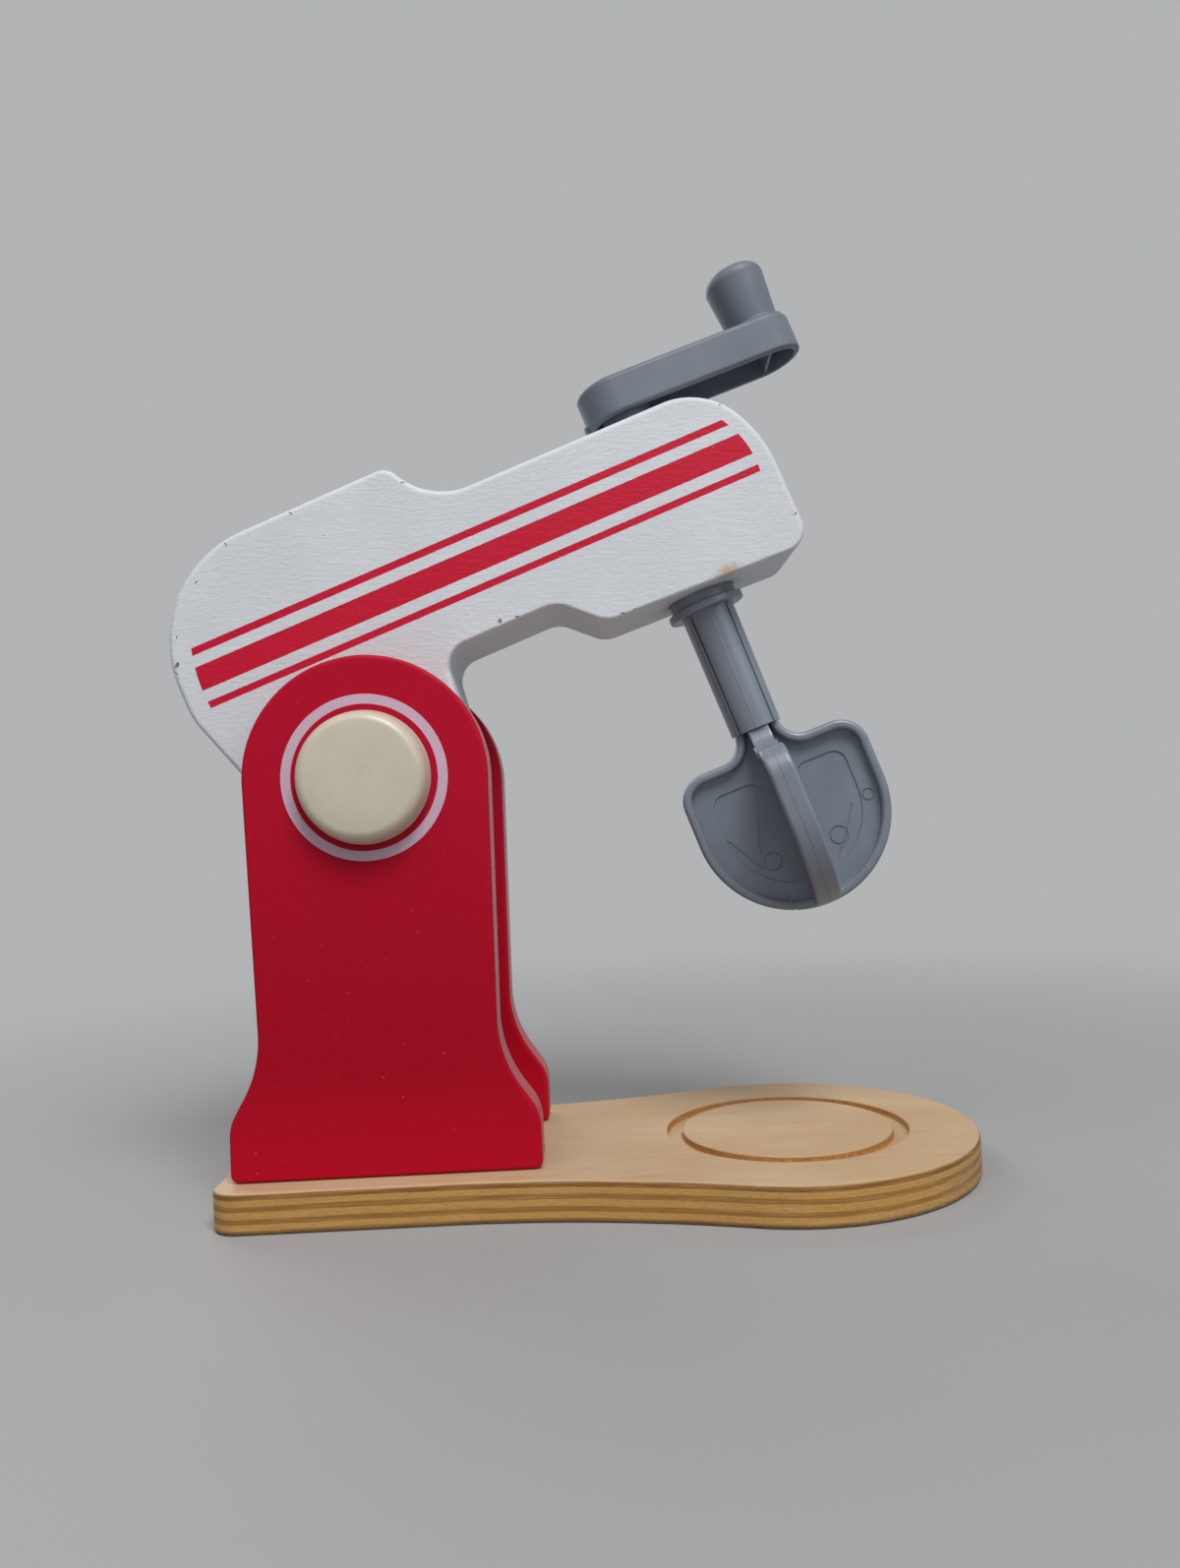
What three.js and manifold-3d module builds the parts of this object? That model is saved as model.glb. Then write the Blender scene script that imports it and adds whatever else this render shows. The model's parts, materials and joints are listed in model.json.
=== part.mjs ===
import * as THREE from 'three';
import { mergeVertices } from 'three/addons/utils/BufferGeometryUtils.js';
import Module from 'manifold-3d';

// Wooden toy stand mixer: two side panels on a paddle-shaped base carry a tilting head,
// and a crank on the head turns a beater below it.
// Millimetres, +Z up, +X from the stand to the bowl seat. The origin is on the underside
// of the base board, at the middle of its length and width.

const fit = {
  gap: 0.3, // air between pieces that turn, slide or plug together
  glueLine: 0.15, // between flat faces that are glued
  overrun: 2, // how far a cutter runs past the face that it opens
  weld: 1e-5, // corners nearer than this are one
};

const facet = {
  angle: 18, // most degrees of turn for one facet of a round stretch
  sag: 0.14, // most that a facet of a round stretch lies inside the true curve
  round: 32, // facets around a part that shows
  small: 14, // facets around a hidden pin, screw or hole
  edge: 2, // facets across an eased edge
};

const base = {
  length: 237,
  thickness: 12,
  discRadius: 60.4, // bowl end
  sideMargin: 8.9, // board left free beside each panel
  rearMargin: 4.7, // and behind them
  tailCornerRadius: 9,
  flareStart: 69.5, // from the rear edge to where the sides begin to swell
  easedEdge: 1.1,
  grooveInnerRadius: 34,
  grooveWidth: 5,
  grooveDepth: 2.6,
  grooveRound: 0.9,
};

const panel = {
  thickness: 14,
  topRadius: 37.4,
  waistBack: 35, // from the pivot line back and forward to the narrowest place
  waistFront: 36.7,
  waistHeight: 33.8, // above the base board, where the foot begins to flare
  waistRadius: 36,
  footBack: 44.8,
  footFront: 48.6,
  footShoulder: 17, // above the base board, where the flare ends
  footRadius: 14,
  footCornerRadius: 2.6,
  easedEdge: 1.2,
};

const pivot = {
  height: 119.6, // above the base board's top face
  tilt: 20.75, // degrees that the head stands raised
  lowest: 0, // degrees, head level
  highest: 35, // degrees, head thrown back
  axleDiameter: 10,
};

const head = {
  thickness: 38.4,
  neckFront: 36.3, // also the radius of the tongue's round end
  archTop: 28.4,
  archCornerRadius: 8,
  archFront: 75.1,
  stepRun: 12.5, // the slope from the arch down to the nose
  stepRadius: 10,
  noseUnderside: 16.4,
  noseFront: 158.1,
  noseChin: 13.8, // height of the underside at its front corner
  chinRadius: 8,
  noseBend: 52, // height where the front end begins to slope back
  noseBendRadius: 44.5,
  noseTop: 74.5,
  noseTopFront: 146.5,
  noseRadius: 24.3,
  humpFootX: 51,
  humpFootRadius: 23,
  humpFrontX: 42.9,
  humpFrontTop: 90.7,
  humpFrontRadius: 6,
  humpTop: 89.6,
  back: 45.6,
  backRadius: 38.4,
  backBend: 41.1, // height where the back turns in to the neck
  backBendRadius: 30,
  neckBackX: 34.4,
  neckBackZ: 9.8,
  easedEdge: 2,
};

const stop = {
  dowelDiameter: 8,
  radius: 28, // from the pivot down to the stop dowel
  seatDepth: 8, // how far a cross dowel goes into each panel
};

const tiltWasher = { diameter: 26, thickness: 1.5, recess: 1.2 };

const knob = {
  diameter: 40.7,
  thickness: 8.6,
  backEdge: 0.5,
  taper: 0.8, // radius lost from the back to where the face rounds over
  rounding: 3.4,
  crown: 0.5,
  socketDepth: 6,
};

const spacer = {
  back: 26,
  front: 27,
  belowTongue: 11.3, // air between its top and the head's round tongue
  easedEdge: 1.5,
};

const crossDowel = {
  diameter: 8,
  aboveFoot: 22, // the lower one, above the base board
  belowTop: 18, // the upper one, below the spacer's top
};

const woodScrew = {
  shankDiameter: 4,
  headDiameter: 8,
  headHeight: 2.6,
  sink: 0.6, // how far the head lies below the underside
  length: 34,
  panelSpacing: 56,
  spacerSpacing: 30,
  tip: 5,
};

const locatingDowel = { diameter: 6, inBase: 7, inPanel: 12 };

const drive = {
  fromNose: 36.8, // from the head's front end back to the drive line
  lean: 1.3, // degrees that the drive line leans forward of square to the head
  crankTurn: 4, // degrees that the crank stands turned to the left
  beaterTurn: -5.5, // and the sleeve and beater
  journalDiameter: 22.4,
  journalLength: 24.2, // above the flange, mostly inside the head
  flangeDiameter: 25.9,
  flangeThickness: 2.7,
  flangeRound: 0.7,
  flangeClear: 2, // from the height of the head's chin down to the flange
  tubeDiameter: 17.8,
  tubeTipDiameter: 17.1, // at the open end, after the moulding's draft
  tubeLength: 45.1, // from the flange's top to the open end
  tubeWall: 1.3,
  lobeGrooveWidth: 1.1,
  lobeGrooveDepth: 0.7,
  lobes: 4,
  floorDrop: 4.8, // from the flange's top down to the floor of the key's socket
  floorThickness: 4.5,
  keyAcross: 9, // across the flats of the six-sided key
  shaftDiameter: 12,
};

const crank = {
  reach: 52.8, // from the drive line to the knob's line
  rootSet: 2.4, // the arm's rear round is centred this far behind the drive line
  rise: 0.9, // degrees that the arm climbs towards its knob
  halfWidth: 11.4,
  aboveHead: 5, // from the head's top up to the arm's lower rim
  height: 13.2,
  wall: 2.5,
  topWall: 2.2,
  easedEdge: 1.9,
  rimEdge: 1.1, // easing of the lower rim
  bossDiameter: 17,
  ribThickness: 1.1,
  ribTurn: -7, // degrees that the rib under the knob is turned from square to the arm
  ribClear: 0.8, // it stops this far above the rim
  knobRootRadius: 8.85,
  knobTopRadius: 10.25,
  knobHeight: 20.9,
  knobRounding: 4.2,
  knobFillet: 1.1,
  gateLength: 1.1, // stub where the moulding was cut from its runner
  gateWidth: 2.4,
};

const bush = {
  diameter: 16,
  flangeDiameter: 21,
  flangeThickness: 1.6,
  depth: 12,
};

const beater = {
  halfWidth: 32.35,
  stemHalfWidth: 7.5,
  plugLength: 21.3, // how far the stem goes up the sleeve
  shoulderDrop: 7.15, // from the sleeve's open end down to the shoulders
  neckRadius: 7.5,
  shoulderRadius: 9.5,
  roundDrop: 22.75, // from the shoulders down to the middle of the round end
  rimDepth: 3.1, // seen from the side
  rimWidth: 8.4,
  neckRimStep: 0.75, // the front and back rims lose this on each side above a step
  neckRimDrop: 5.5, // from the sleeve's open end down to that step
  rimRound: 0.9,
  webThickness: 2,
  panelFromCentre: 6, // from the centre line to a sunk panel
  panelInset: 5.8, // from the rim's inside to a sunk panel
  panelSink: 0.35,
  panelCornerRadius: 4.5,
};

const driveScrew = {
  shankDiameter: 3.6,
  headDiameter: 7.4,
  headHeight: 2.6,
  length: 24,
  washerDiameter: 12,
  washerThickness: 1,
};

// Places worked out from the sizes
const degrees = Math.PI / 180;
const quarterTurn = Math.PI / 2;
const innerY = head.thickness / 2 - tiltWasher.recess + tiltWasher.thickness + 2 * fit.gap;
const outerY = innerY + panel.thickness;
const panelMidY = innerY + panel.thickness / 2;
const tailHalfWidth = outerY + base.sideMargin;
const pivotX = base.rearMargin + panel.footBack - base.length / 2;
const pivotZ = base.thickness + pivot.height;
const discX = base.length / 2 - base.discRadius;
const boreRadius = pivot.axleDiameter / 2 + fit.gap;
const spacerTop = pivotZ - head.neckFront - spacer.belowTongue;
const lowerDowelZ = base.thickness + crossDowel.aboveFoot;
const upperDowelZ = spacerTop - crossDowel.belowTop;
// Heights along the drive line, from the pivot's height up and down
const driveX = head.noseFront - drive.fromNose;
const flangeTop = head.noseChin - drive.flangeClear;
const flangeBottom = flangeTop - drive.flangeThickness;
const journalTop = flangeTop + drive.journalLength;
const floorTop = flangeTop - drive.floorDrop;
const floorBottom = floorTop - drive.floorThickness;
const tubeBottom = flangeTop - drive.tubeLength;
const crankBottom = head.noseTop + crank.aboveHead;
const roundCentre = tubeBottom - beater.shoulderDrop - beater.roundDrop;
// The bush's flange rests on the head at one edge, because the drive line leans
const bushSeatZ = head.noseTop + fit.glueLine
  + bush.flangeDiameter / 2 * Math.sin(drive.lean * degrees);

const finish = {
  red: { color: 0xa81329, roughness: 0.5, metalness: 0 },
  white: { color: 0xe2e4e6, roughness: 0.5, metalness: 0 },
  plywood: { color: 0xd3b48c, roughness: 0.6, metalness: 0 },
  cream: { color: 0xd9d2ba, roughness: 0.4, metalness: 0 },
  grey: { color: 0x6f7983, roughness: 0.45, metalness: 0 },
  beech: { color: 0xcfae84, roughness: 0.7, metalness: 0 },
  nylon: { color: 0xdcdcd6, roughness: 0.5, metalness: 0 },
  steel: { color: 0xb4b6b8, roughness: 0.35, metalness: 1 },
};

const wasm = await Module();
wasm.setup();

// Closed geometry to a solid that can be joined and cut, and back again
function solid(geometry) {
  const bare = geometry.clone();
  bare.deleteAttribute('normal');
  bare.deleteAttribute('uv');
  const merged = mergeVertices(bare, fit.weld);
  return new wasm.Manifold(new wasm.Mesh({
    numProp: 3,
    vertProperties: new Float32Array(merged.attributes.position.array),
    triVerts: new Uint32Array(merged.index.array),
  }));
}

function toGeometry(body) {
  const mesh = body.getMesh();
  const geometry = new THREE.BufferGeometry();
  geometry.setAttribute('position', new THREE.BufferAttribute(mesh.vertProperties, 3));
  geometry.setIndex(new THREE.BufferAttribute(mesh.triVerts, 1));
  geometry.computeVertexNormals();
  return geometry;
}

function named(name, body, look) {
  const mesh = new THREE.Mesh(toGeometry(body), new THREE.MeshStandardMaterial(look));
  mesh.name = name;
  return mesh;
}

function joined(bodies) {
  return bodies.reduce((whole, body) => whole.add(body));
}

function cut(body, cutters) {
  return cutters.reduce((rest, cutter) => rest.subtract(cutter), body);
}

// Points along an arc, in equal facets as fine as its radius needs
function arc(x, y, radius, from, to) {
  const bySag = 2 * Math.acos(Math.max(0, 1 - facet.sag / radius));
  const step = Math.min(bySag, facet.angle * degrees);
  const steps = Math.max(1, Math.ceil(Math.abs(to - from) / step));
  return Array.from({ length: steps + 1 }, (_, i) => {
    const angle = from + (to - from) * i / steps;
    return new THREE.Vector2(x + radius * Math.cos(angle), y + radius * Math.sin(angle));
  });
}

// How far the round at each corner reaches along its two sides. Where two rounds would
// meet on a side, both are drawn in.
function cornerReaches(points, radii) {
  const count = points.length;
  const wanted = points.map((corner, i) => {
    const back = points[(i + count - 1) % count].clone().sub(corner).normalize();
    const ahead = points[(i + 1) % count].clone().sub(corner).normalize();
    const half = Math.acos(THREE.MathUtils.clamp(back.dot(ahead), -1, 1)) / 2;
    return radii[i] === 0 ? 0 : radii[i] / Math.tan(half);
  });
  const room = points.map((corner, i) => {
    const next = (i + 1) % count;
    const total = wanted[i] + wanted[next];
    return total > 0 ? Math.min(1, corner.distanceTo(points[next]) / total) : 1;
  });
  return wanted.map((reach, i) => reach * Math.min(room[i], room[(i + count - 1) % count]));
}

// A closed outline from corners [x, y, radius], in order, each rounded by its radius
function outline(corners) {
  const points = corners.map(([x, y]) => new THREE.Vector2(x, y));
  const reaches = cornerReaches(points, corners.map((corner) => corner[2]));
  const count = points.length;
  return new THREE.Shape(points.flatMap((corner, i) => {
    if (reaches[i] === 0) return [corner];
    const back = points[(i + count - 1) % count].clone().sub(corner).normalize();
    const ahead = points[(i + 1) % count].clone().sub(corner).normalize();
    const half = Math.acos(back.dot(ahead)) / 2;
    const middle = back.clone().add(ahead).normalize();
    const centre = corner.clone().addScaledVector(middle, reaches[i] / Math.cos(half));
    const start = corner.clone().addScaledVector(back, reaches[i]).sub(centre);
    const end = corner.clone().addScaledVector(ahead, reaches[i]).sub(centre);
    const from = start.angle();
    const turn = Math.atan2(start.cross(end), start.dot(end));
    return arc(centre.x, centre.y, start.length(), from, from + turn);
  }));
}

// A plate with eased edges that keeps its outline's size; it stands on z = 0
function plate(shape, thickness, edge, edgeFacets = facet.edge) {
  const eased = edge > 0;
  const geometry = new THREE.ExtrudeGeometry(shape, {
    depth: thickness - 2 * edge,
    bevelEnabled: eased,
    bevelThickness: edge,
    bevelSize: edge,
    bevelOffset: -edge,
    bevelSegments: edgeFacets,
  });
  return geometry.translate(0, 0, edge);
}

// The same plate stood up, its outline in X and Z and its thickness centred on y
function uprightPlate(shape, thickness, edge, y, edgeFacets) {
  return solid(plate(shape, thickness, edge, edgeFacets)
    .translate(0, 0, -thickness / 2)
    .rotateX(quarterTurn)
    .translate(0, y, 0));
}

// A turned solid about Z from [radius, height] points that start and end on the axis
function turned(profile, sides) {
  const points = profile.map(([radius, height]) => new THREE.Vector2(radius, height));
  return solid(new THREE.LatheGeometry(points, sides).rotateX(quarterTurn));
}

function rod(radius, bottom, top, sides) {
  return turned([[0, bottom], [radius, bottom], [radius, top], [0, top]], sides);
}

// A rod along Y through x, z, from y = low to y = high
function crossRod(radius, low, high, x, z, sides) {
  return rod(radius, low, high, sides).rotate([-90, 0, 0]).translate([x, 0, z]);
}

function baseOutline() {
  const rear = -base.length / 2;
  const flareX = rear + base.flareStart;
  const run = discX - flareX;
  const swell = base.discRadius - tailHalfWidth;
  const sum = base.discRadius + tailHalfWidth;
  const flareRadius = (run * run / swell - sum) / 2;
  const flareY = tailHalfWidth + flareRadius;
  const turn = Math.atan2(run, flareY);
  const corner = base.tailCornerRadius;
  const cornerX = rear + corner;
  const cornerY = tailHalfWidth - corner;
  return new THREE.Shape([
    ...arc(cornerX, -cornerY, corner, 2 * quarterTurn, 3 * quarterTurn),
    ...arc(flareX, -flareY, flareRadius, quarterTurn, quarterTurn - turn),
    ...arc(discX, 0, base.discRadius, -quarterTurn - turn, quarterTurn + turn),
    ...arc(flareX, flareY, flareRadius, turn - quarterTurn, -quarterTurn),
    ...arc(cornerX, cornerY, corner, quarterTurn, 2 * quarterTurn),
  ]);
}

function screwPlaces() {
  const half = woodScrew.panelSpacing / 2;
  return [
    ['panel_screw_right_rear', pivotX - half, -panelMidY],
    ['panel_screw_right_front', pivotX + half, -panelMidY],
    ['panel_screw_left_rear', pivotX - half, panelMidY],
    ['panel_screw_left_front', pivotX + half, panelMidY],
    ['spacer_screw_rear', pivotX - woodScrew.spacerSpacing / 2, 0],
    ['spacer_screw_front', pivotX + woodScrew.spacerSpacing / 2, 0],
  ];
}

// A countersunk screw with its head down, grown by clear on every side to make its hole
function screwBody(clear) {
  const isHole = clear > 0;
  const bottom = isHole ? -fit.overrun : woodScrew.sink;
  const shank = woodScrew.shankDiameter / 2 + clear;
  const rim = woodScrew.headDiameter / 2 + clear;
  const top = woodScrew.sink + woodScrew.length;
  return turned([
    [0, bottom],
    [rim, bottom],
    ...(isHole ? [[rim, woodScrew.sink + clear]] : []),
    [shank, woodScrew.sink + woodScrew.headHeight + clear],
    [shank, top - woodScrew.tip],
    [0, top + clear],
  ], facet.small);
}

function screwHoles(places) {
  return places.map(([, x, y]) => screwBody(fit.gap).translate([x, y, 0]));
}

function baseBoard() {
  const board = solid(plate(baseOutline(), base.thickness, base.easedEdge));
  const floor = base.thickness - base.grooveDepth;
  const inner = base.grooveInnerRadius;
  const outer = inner + base.grooveWidth;
  const groove = turned([
    [inner, base.thickness + fit.overrun],
    [inner, floor + base.grooveRound],
    [inner + base.grooveRound, floor],
    [outer - base.grooveRound, floor],
    [outer, floor + base.grooveRound],
    [outer, base.thickness + fit.overrun],
    [inner, base.thickness + fit.overrun],
  ], 2 * facet.round).translate([discX, 0, 0]);
  const dowelRadius = locatingDowel.diameter / 2 + fit.gap;
  const dowelHoles = [-panelMidY, panelMidY].map((y) => rod(dowelRadius,
    base.thickness - locatingDowel.inBase - fit.gap, base.thickness + fit.overrun, facet.small)
    .translate([pivotX, y, 0]));
  return named('base_board', cut(board, [groove, ...screwHoles(screwPlaces()), ...dowelHoles]),
    finish.plywood);
}

// The panel seen from its side, with x measured from the pivot line and z from the floor
function panelOutline() {
  const foot = base.thickness + fit.glueLine;
  const waist = base.thickness + panel.waistHeight;
  const shoulder = base.thickness + panel.footShoulder;
  const side = (direction, waistX, footX) => [
    [direction * footX, foot, panel.footCornerRadius],
    [direction * footX, shoulder, panel.footRadius],
    [direction * waistX, waist, panel.waistRadius],
    [direction * panel.topRadius, pivotZ, 0],
  ];
  const front = side(1, panel.waistFront, panel.footFront);
  const back = side(-1, panel.waistBack, panel.footBack).reverse();
  const crown = arc(0, pivotZ, panel.topRadius, 0, 2 * quarterTurn).slice(1, -1);
  return outline([...front, ...crown.map((point) => [point.x, point.y, 0]), ...back]);
}

function sidePanel(name, side) {
  const board = uprightPlate(panelOutline(), panel.thickness, panel.easedEdge, side * panelMidY)
    .translate([pivotX, 0, 0]);
  const through = (radius, from, to, z) => {
    const ends = [side * from, side * to].sort((a, b) => a - b);
    return crossRod(radius, ends[0], ends[1], pivotX, z, facet.small);
  };
  const inside = innerY - fit.overrun;
  const seat = innerY + stop.seatDepth + fit.gap;
  const crossRadius = crossDowel.diameter / 2 + fit.gap;
  const dowelTop = base.thickness + locatingDowel.inPanel + fit.gap;
  return named(name, cut(board, [
    through(boreRadius, inside, outerY + fit.overrun, pivotZ),
    through(stop.dowelDiameter / 2 + fit.gap, inside, seat, pivotZ - stop.radius),
    through(crossRadius, inside, seat, lowerDowelZ),
    through(crossRadius, inside, seat, upperDowelZ),
    rod(locatingDowel.diameter / 2 + fit.gap, 0, dowelTop, facet.small)
      .translate([pivotX, side * panelMidY, 0]),
    ...screwHoles(screwPlaces()),
  ]), finish.red);
}

function standSpacer() {
  const foot = base.thickness + fit.glueLine;
  const width = 2 * innerY - 2 * fit.glueLine;
  const block = uprightPlate(outline([
    [-spacer.back, foot, spacer.easedEdge],
    [spacer.front, foot, spacer.easedEdge],
    [spacer.front, spacerTop, spacer.easedEdge],
    [-spacer.back, spacerTop, spacer.easedEdge],
  ]), width, 0, 0).translate([pivotX, 0, 0]);
  const bores = [lowerDowelZ, upperDowelZ].map((z) => crossRod(
    crossDowel.diameter / 2 + fit.gap, -innerY, innerY, pivotX, z, facet.small));
  return named('stand_spacer', cut(block, [...bores, ...screwHoles(screwPlaces())]), finish.red);
}

function crossDowelPiece(name, diameter, z) {
  const end = innerY + stop.seatDepth;
  return named(name, crossRod(diameter / 2, -end, end, pivotX, z, facet.small), finish.beech);
}

function locatingDowelPiece(name, side) {
  const bottom = base.thickness - locatingDowel.inBase;
  const top = base.thickness + locatingDowel.inPanel;
  return named(name, rod(locatingDowel.diameter / 2, bottom, top, facet.small)
    .translate([pivotX, side * panelMidY, 0]), finish.beech);
}

function woodScrewPiece([name, x, y]) {
  return named(name, screwBody(0).translate([x, y, 0]), finish.steel);
}

// The head seen from its side, level, with the pivot at 0, 0
function headOutline() {
  const tongueStart = Math.atan2(head.neckBackZ, -head.neckBackX);
  const tongue = arc(0, 0, head.neckFront, tongueStart, 4 * quarterTurn);
  return outline([
    ...tongue.map((point) => [point.x, point.y, 0]),
    [head.neckFront, head.archTop, head.archCornerRadius],
    [head.archFront, head.archTop, head.stepRadius],
    [head.archFront + head.stepRun, head.noseUnderside, head.stepRadius],
    [head.noseFront, head.noseChin, head.chinRadius],
    [head.noseFront, head.noseBend, head.noseBendRadius],
    [head.noseTopFront, head.noseTop, head.noseRadius],
    [head.humpFootX, head.noseTop, head.humpFootRadius],
    [head.humpFrontX, head.humpFrontTop, head.humpFrontRadius],
    [-head.back, head.humpTop, head.backRadius],
    [-head.back, head.backBend, head.backBendRadius],
  ]);
}

// The open notch in the tongue that the stop dowel runs in, as a sector about the pivot
function stopNotch() {
  const down = 3 * quarterTurn;
  const spare = Math.asin((stop.dowelDiameter / 2 + fit.gap) / stop.radius);
  const from = down - pivot.highest * degrees - spare;
  const to = down - pivot.lowest * degrees + spare;
  const floor = stop.radius - stop.dowelDiameter / 2 - 2 * fit.gap;
  const mouth = head.neckFront + fit.overrun;
  const shape = new THREE.Shape([
    ...arc(0, 0, floor, to, from),
    ...arc(0, 0, mouth, from, to),
  ]);
  return uprightPlate(shape, head.thickness + 2 * fit.overrun, 0, 0);
}

function mixerHead() {
  const block = uprightPlate(headOutline(), head.thickness, head.easedEdge, 0);
  const side = head.thickness / 2;
  const recess = (low, high) => crossRod(tiltWasher.diameter / 2 + fit.gap, low, high, 0, 0,
    facet.round);
  const boreTop = head.noseTop + fit.overrun;
  const shaftBore = rod(drive.shaftDiameter / 2 + fit.gap, 0, boreTop, facet.small);
  const journalBore = rod(drive.journalDiameter / 2 + fit.gap, 0,
    journalTop + 2 * fit.gap, facet.round);
  const bushBore = rod(bush.diameter / 2 + fit.gap, head.noseTop - bush.depth - fit.gap, boreTop,
    facet.small);
  return named('mixer_head', cut(block, [
    crossRod(boreRadius, -side - fit.overrun, side + fit.overrun, 0, 0, facet.small),
    recess(-side - fit.overrun, tiltWasher.recess - side),
    recess(side - tiltWasher.recess, side + fit.overrun),
    stopNotch(),
    ...[shaftBore, journalBore, bushBore].map((bore) => bore.rotate([0, drive.lean, 0])
      .translate([driveX, 0, 0])),
  ]), finish.white);
}

function tiltWasherPiece(name, side) {
  const near = head.thickness / 2 - tiltWasher.recess + fit.gap;
  const middle = near + tiltWasher.thickness / 2;
  const half = tiltWasher.thickness / 2;
  const disc = crossRod(tiltWasher.diameter / 2, -half, half, 0, 0, facet.round);
  const bore = crossRod(boreRadius, -tiltWasher.thickness, tiltWasher.thickness, 0, 0, facet.small);
  return named(name, disc.subtract(bore).translate([0, side * middle, 0]), finish.nylon);
}

function crankBush() {
  const bottom = head.noseTop - bush.depth;
  const top = bushSeatZ + bush.flangeThickness;
  const body = turned([
    [0, bottom],
    [bush.diameter / 2, bottom],
    [bush.diameter / 2, bushSeatZ],
    [bush.flangeDiameter / 2, bushSeatZ],
    [bush.flangeDiameter / 2, top],
    [0, top],
  ], facet.round);
  const bore = rod(drive.shaftDiameter / 2 + fit.gap, bottom - fit.overrun, top + fit.overrun,
    facet.small);
  return named('crank_bush', body.subtract(bore), finish.grey);
}

// The axle ends one gap short of the floor of each knob's socket
function pivotAxle() {
  const end = outerY + knob.socketDepth;
  return named('pivot_axle', crossRod(pivot.axleDiameter / 2, -end, end, pivotX, pivotZ,
    facet.small), finish.beech);
}

function dialKnob(name, side) {
  const radius = knob.diameter / 2;
  const round = arc(radius - knob.taper - knob.rounding,
    knob.thickness - knob.rounding - knob.crown, knob.rounding, 0, quarterTurn);
  const body = turned([
    [0, 0],
    [radius - knob.backEdge, 0],
    [radius, knob.backEdge],
    ...round.map((point) => [point.x, point.y]),
    [0, knob.thickness],
  ], facet.round);
  const socket = rod(boreRadius, -fit.overrun, knob.socketDepth, facet.small);
  return named(name, body.subtract(socket)
    .rotate([-90 * side, 0, 0])
    .translate([pivotX, side * (outerY + fit.gap), pivotZ]), finish.cream);
}

function stadium(halfWidth) {
  return new THREE.Shape([
    ...arc(-crank.rootSet, 0, halfWidth, quarterTurn, 3 * quarterTurn),
    ...arc(crank.reach, 0, halfWidth, -quarterTurn, quarterTurn),
  ]);
}

// Six-sided key or socket about Z
function key(across, bottom, top) {
  return rod(across / Math.sqrt(3), bottom, top, 6);
}

function crankHandle() {
  const top = crankBottom + crank.height;
  const ceiling = top - crank.topWall;
  const inner = crank.halfWidth - crank.wall;
  // The arm is eased less at its lower rim, so a lower slice with that edge is joined on
  const arm = solid(plate(stadium(crank.halfWidth), crank.height, crank.easedEdge)
    .translate(0, 0, crankBottom));
  const skirt = solid(plate(stadium(crank.halfWidth), crank.height - crank.easedEdge,
    crank.rimEdge, 1).translate(0, 0, crankBottom));
  const hollow = solid(plate(stadium(inner), ceiling - crankBottom + fit.overrun, 0)
    .translate(0, 0, crankBottom - fit.overrun));
  const ribBottom = crankBottom + crank.ribClear;
  const rib = solid(new THREE.BoxGeometry(crank.ribThickness, 2 * inner + crank.wall,
    top - ribBottom - crank.topWall / 2)
    .rotateZ(crank.ribTurn * degrees)
    .translate(crank.reach, 0, (top - crank.topWall / 2 + ribBottom) / 2));

  const knobTop = top + crank.knobHeight;
  const crownRadius = crank.knobTopRadius - crank.knobRounding;
  const grip = turned([
    [0, ceiling],
    [crank.knobRootRadius + crank.knobFillet, ceiling],
    [crank.knobRootRadius + crank.knobFillet, top],
    [crank.knobRootRadius, top + crank.knobFillet],
    ...arc(crownRadius, knobTop - crank.knobRounding, crank.knobRounding, 0, quarterTurn)
      .map((point) => [point.x, point.y]),
    [0, knobTop],
  ], facet.round).translate([crank.reach, 0, 0]);
  const gripHollow = turned([
    [0, crankBottom],
    [crank.knobRootRadius - crank.wall, crankBottom],
    [crank.knobTopRadius - crank.wall, knobTop - crank.knobRounding],
    [crownRadius, knobTop - crank.topWall],
    [0, knobTop - crank.topWall],
  ], facet.round).translate([crank.reach, 0, 0]);

  const bossBottom = bushSeatZ + bush.flangeThickness + fit.gap;
  const boss = rod(crank.bossDiameter / 2, bossBottom, ceiling + crank.topWall / 2, facet.round);
  const shaft = rod(drive.shaftDiameter / 2, journalTop + fit.gap, ceiling, facet.small);
  const keyBottom = floorTop + fit.gap;
  const keyPart = key(drive.keyAcross, keyBottom, journalTop + 2 * fit.gap)
    .rotate([0, 0, drive.beaterTurn - drive.crankTurn]);
  const pilotTop = floorBottom - driveScrew.washerThickness + driveScrew.length + fit.gap;
  const pilot = rod(driveScrew.shankDiameter / 2 + fit.gap, keyBottom - fit.overrun, pilotTop,
    facet.small);
  const gate = solid(new THREE.BoxGeometry(2 * crank.gateLength, crank.gateWidth, crank.gateWidth)
    .translate(-crank.rootSet - crank.halfWidth, 0, crankBottom + crank.gateWidth / 2));

  const shell = cut(joined([arm, skirt, grip]), [hollow, gripHollow]);
  const raised = joined([shell, rib, gate])
    .translate([0, 0, -crankBottom])
    .rotate([0, -crank.rise, 0])
    .translate([0, 0, crankBottom]);
  return named('crank_handle', joined([raised, boss, shaft, keyPart]).subtract(pilot),
    finish.grey);
}

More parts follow.
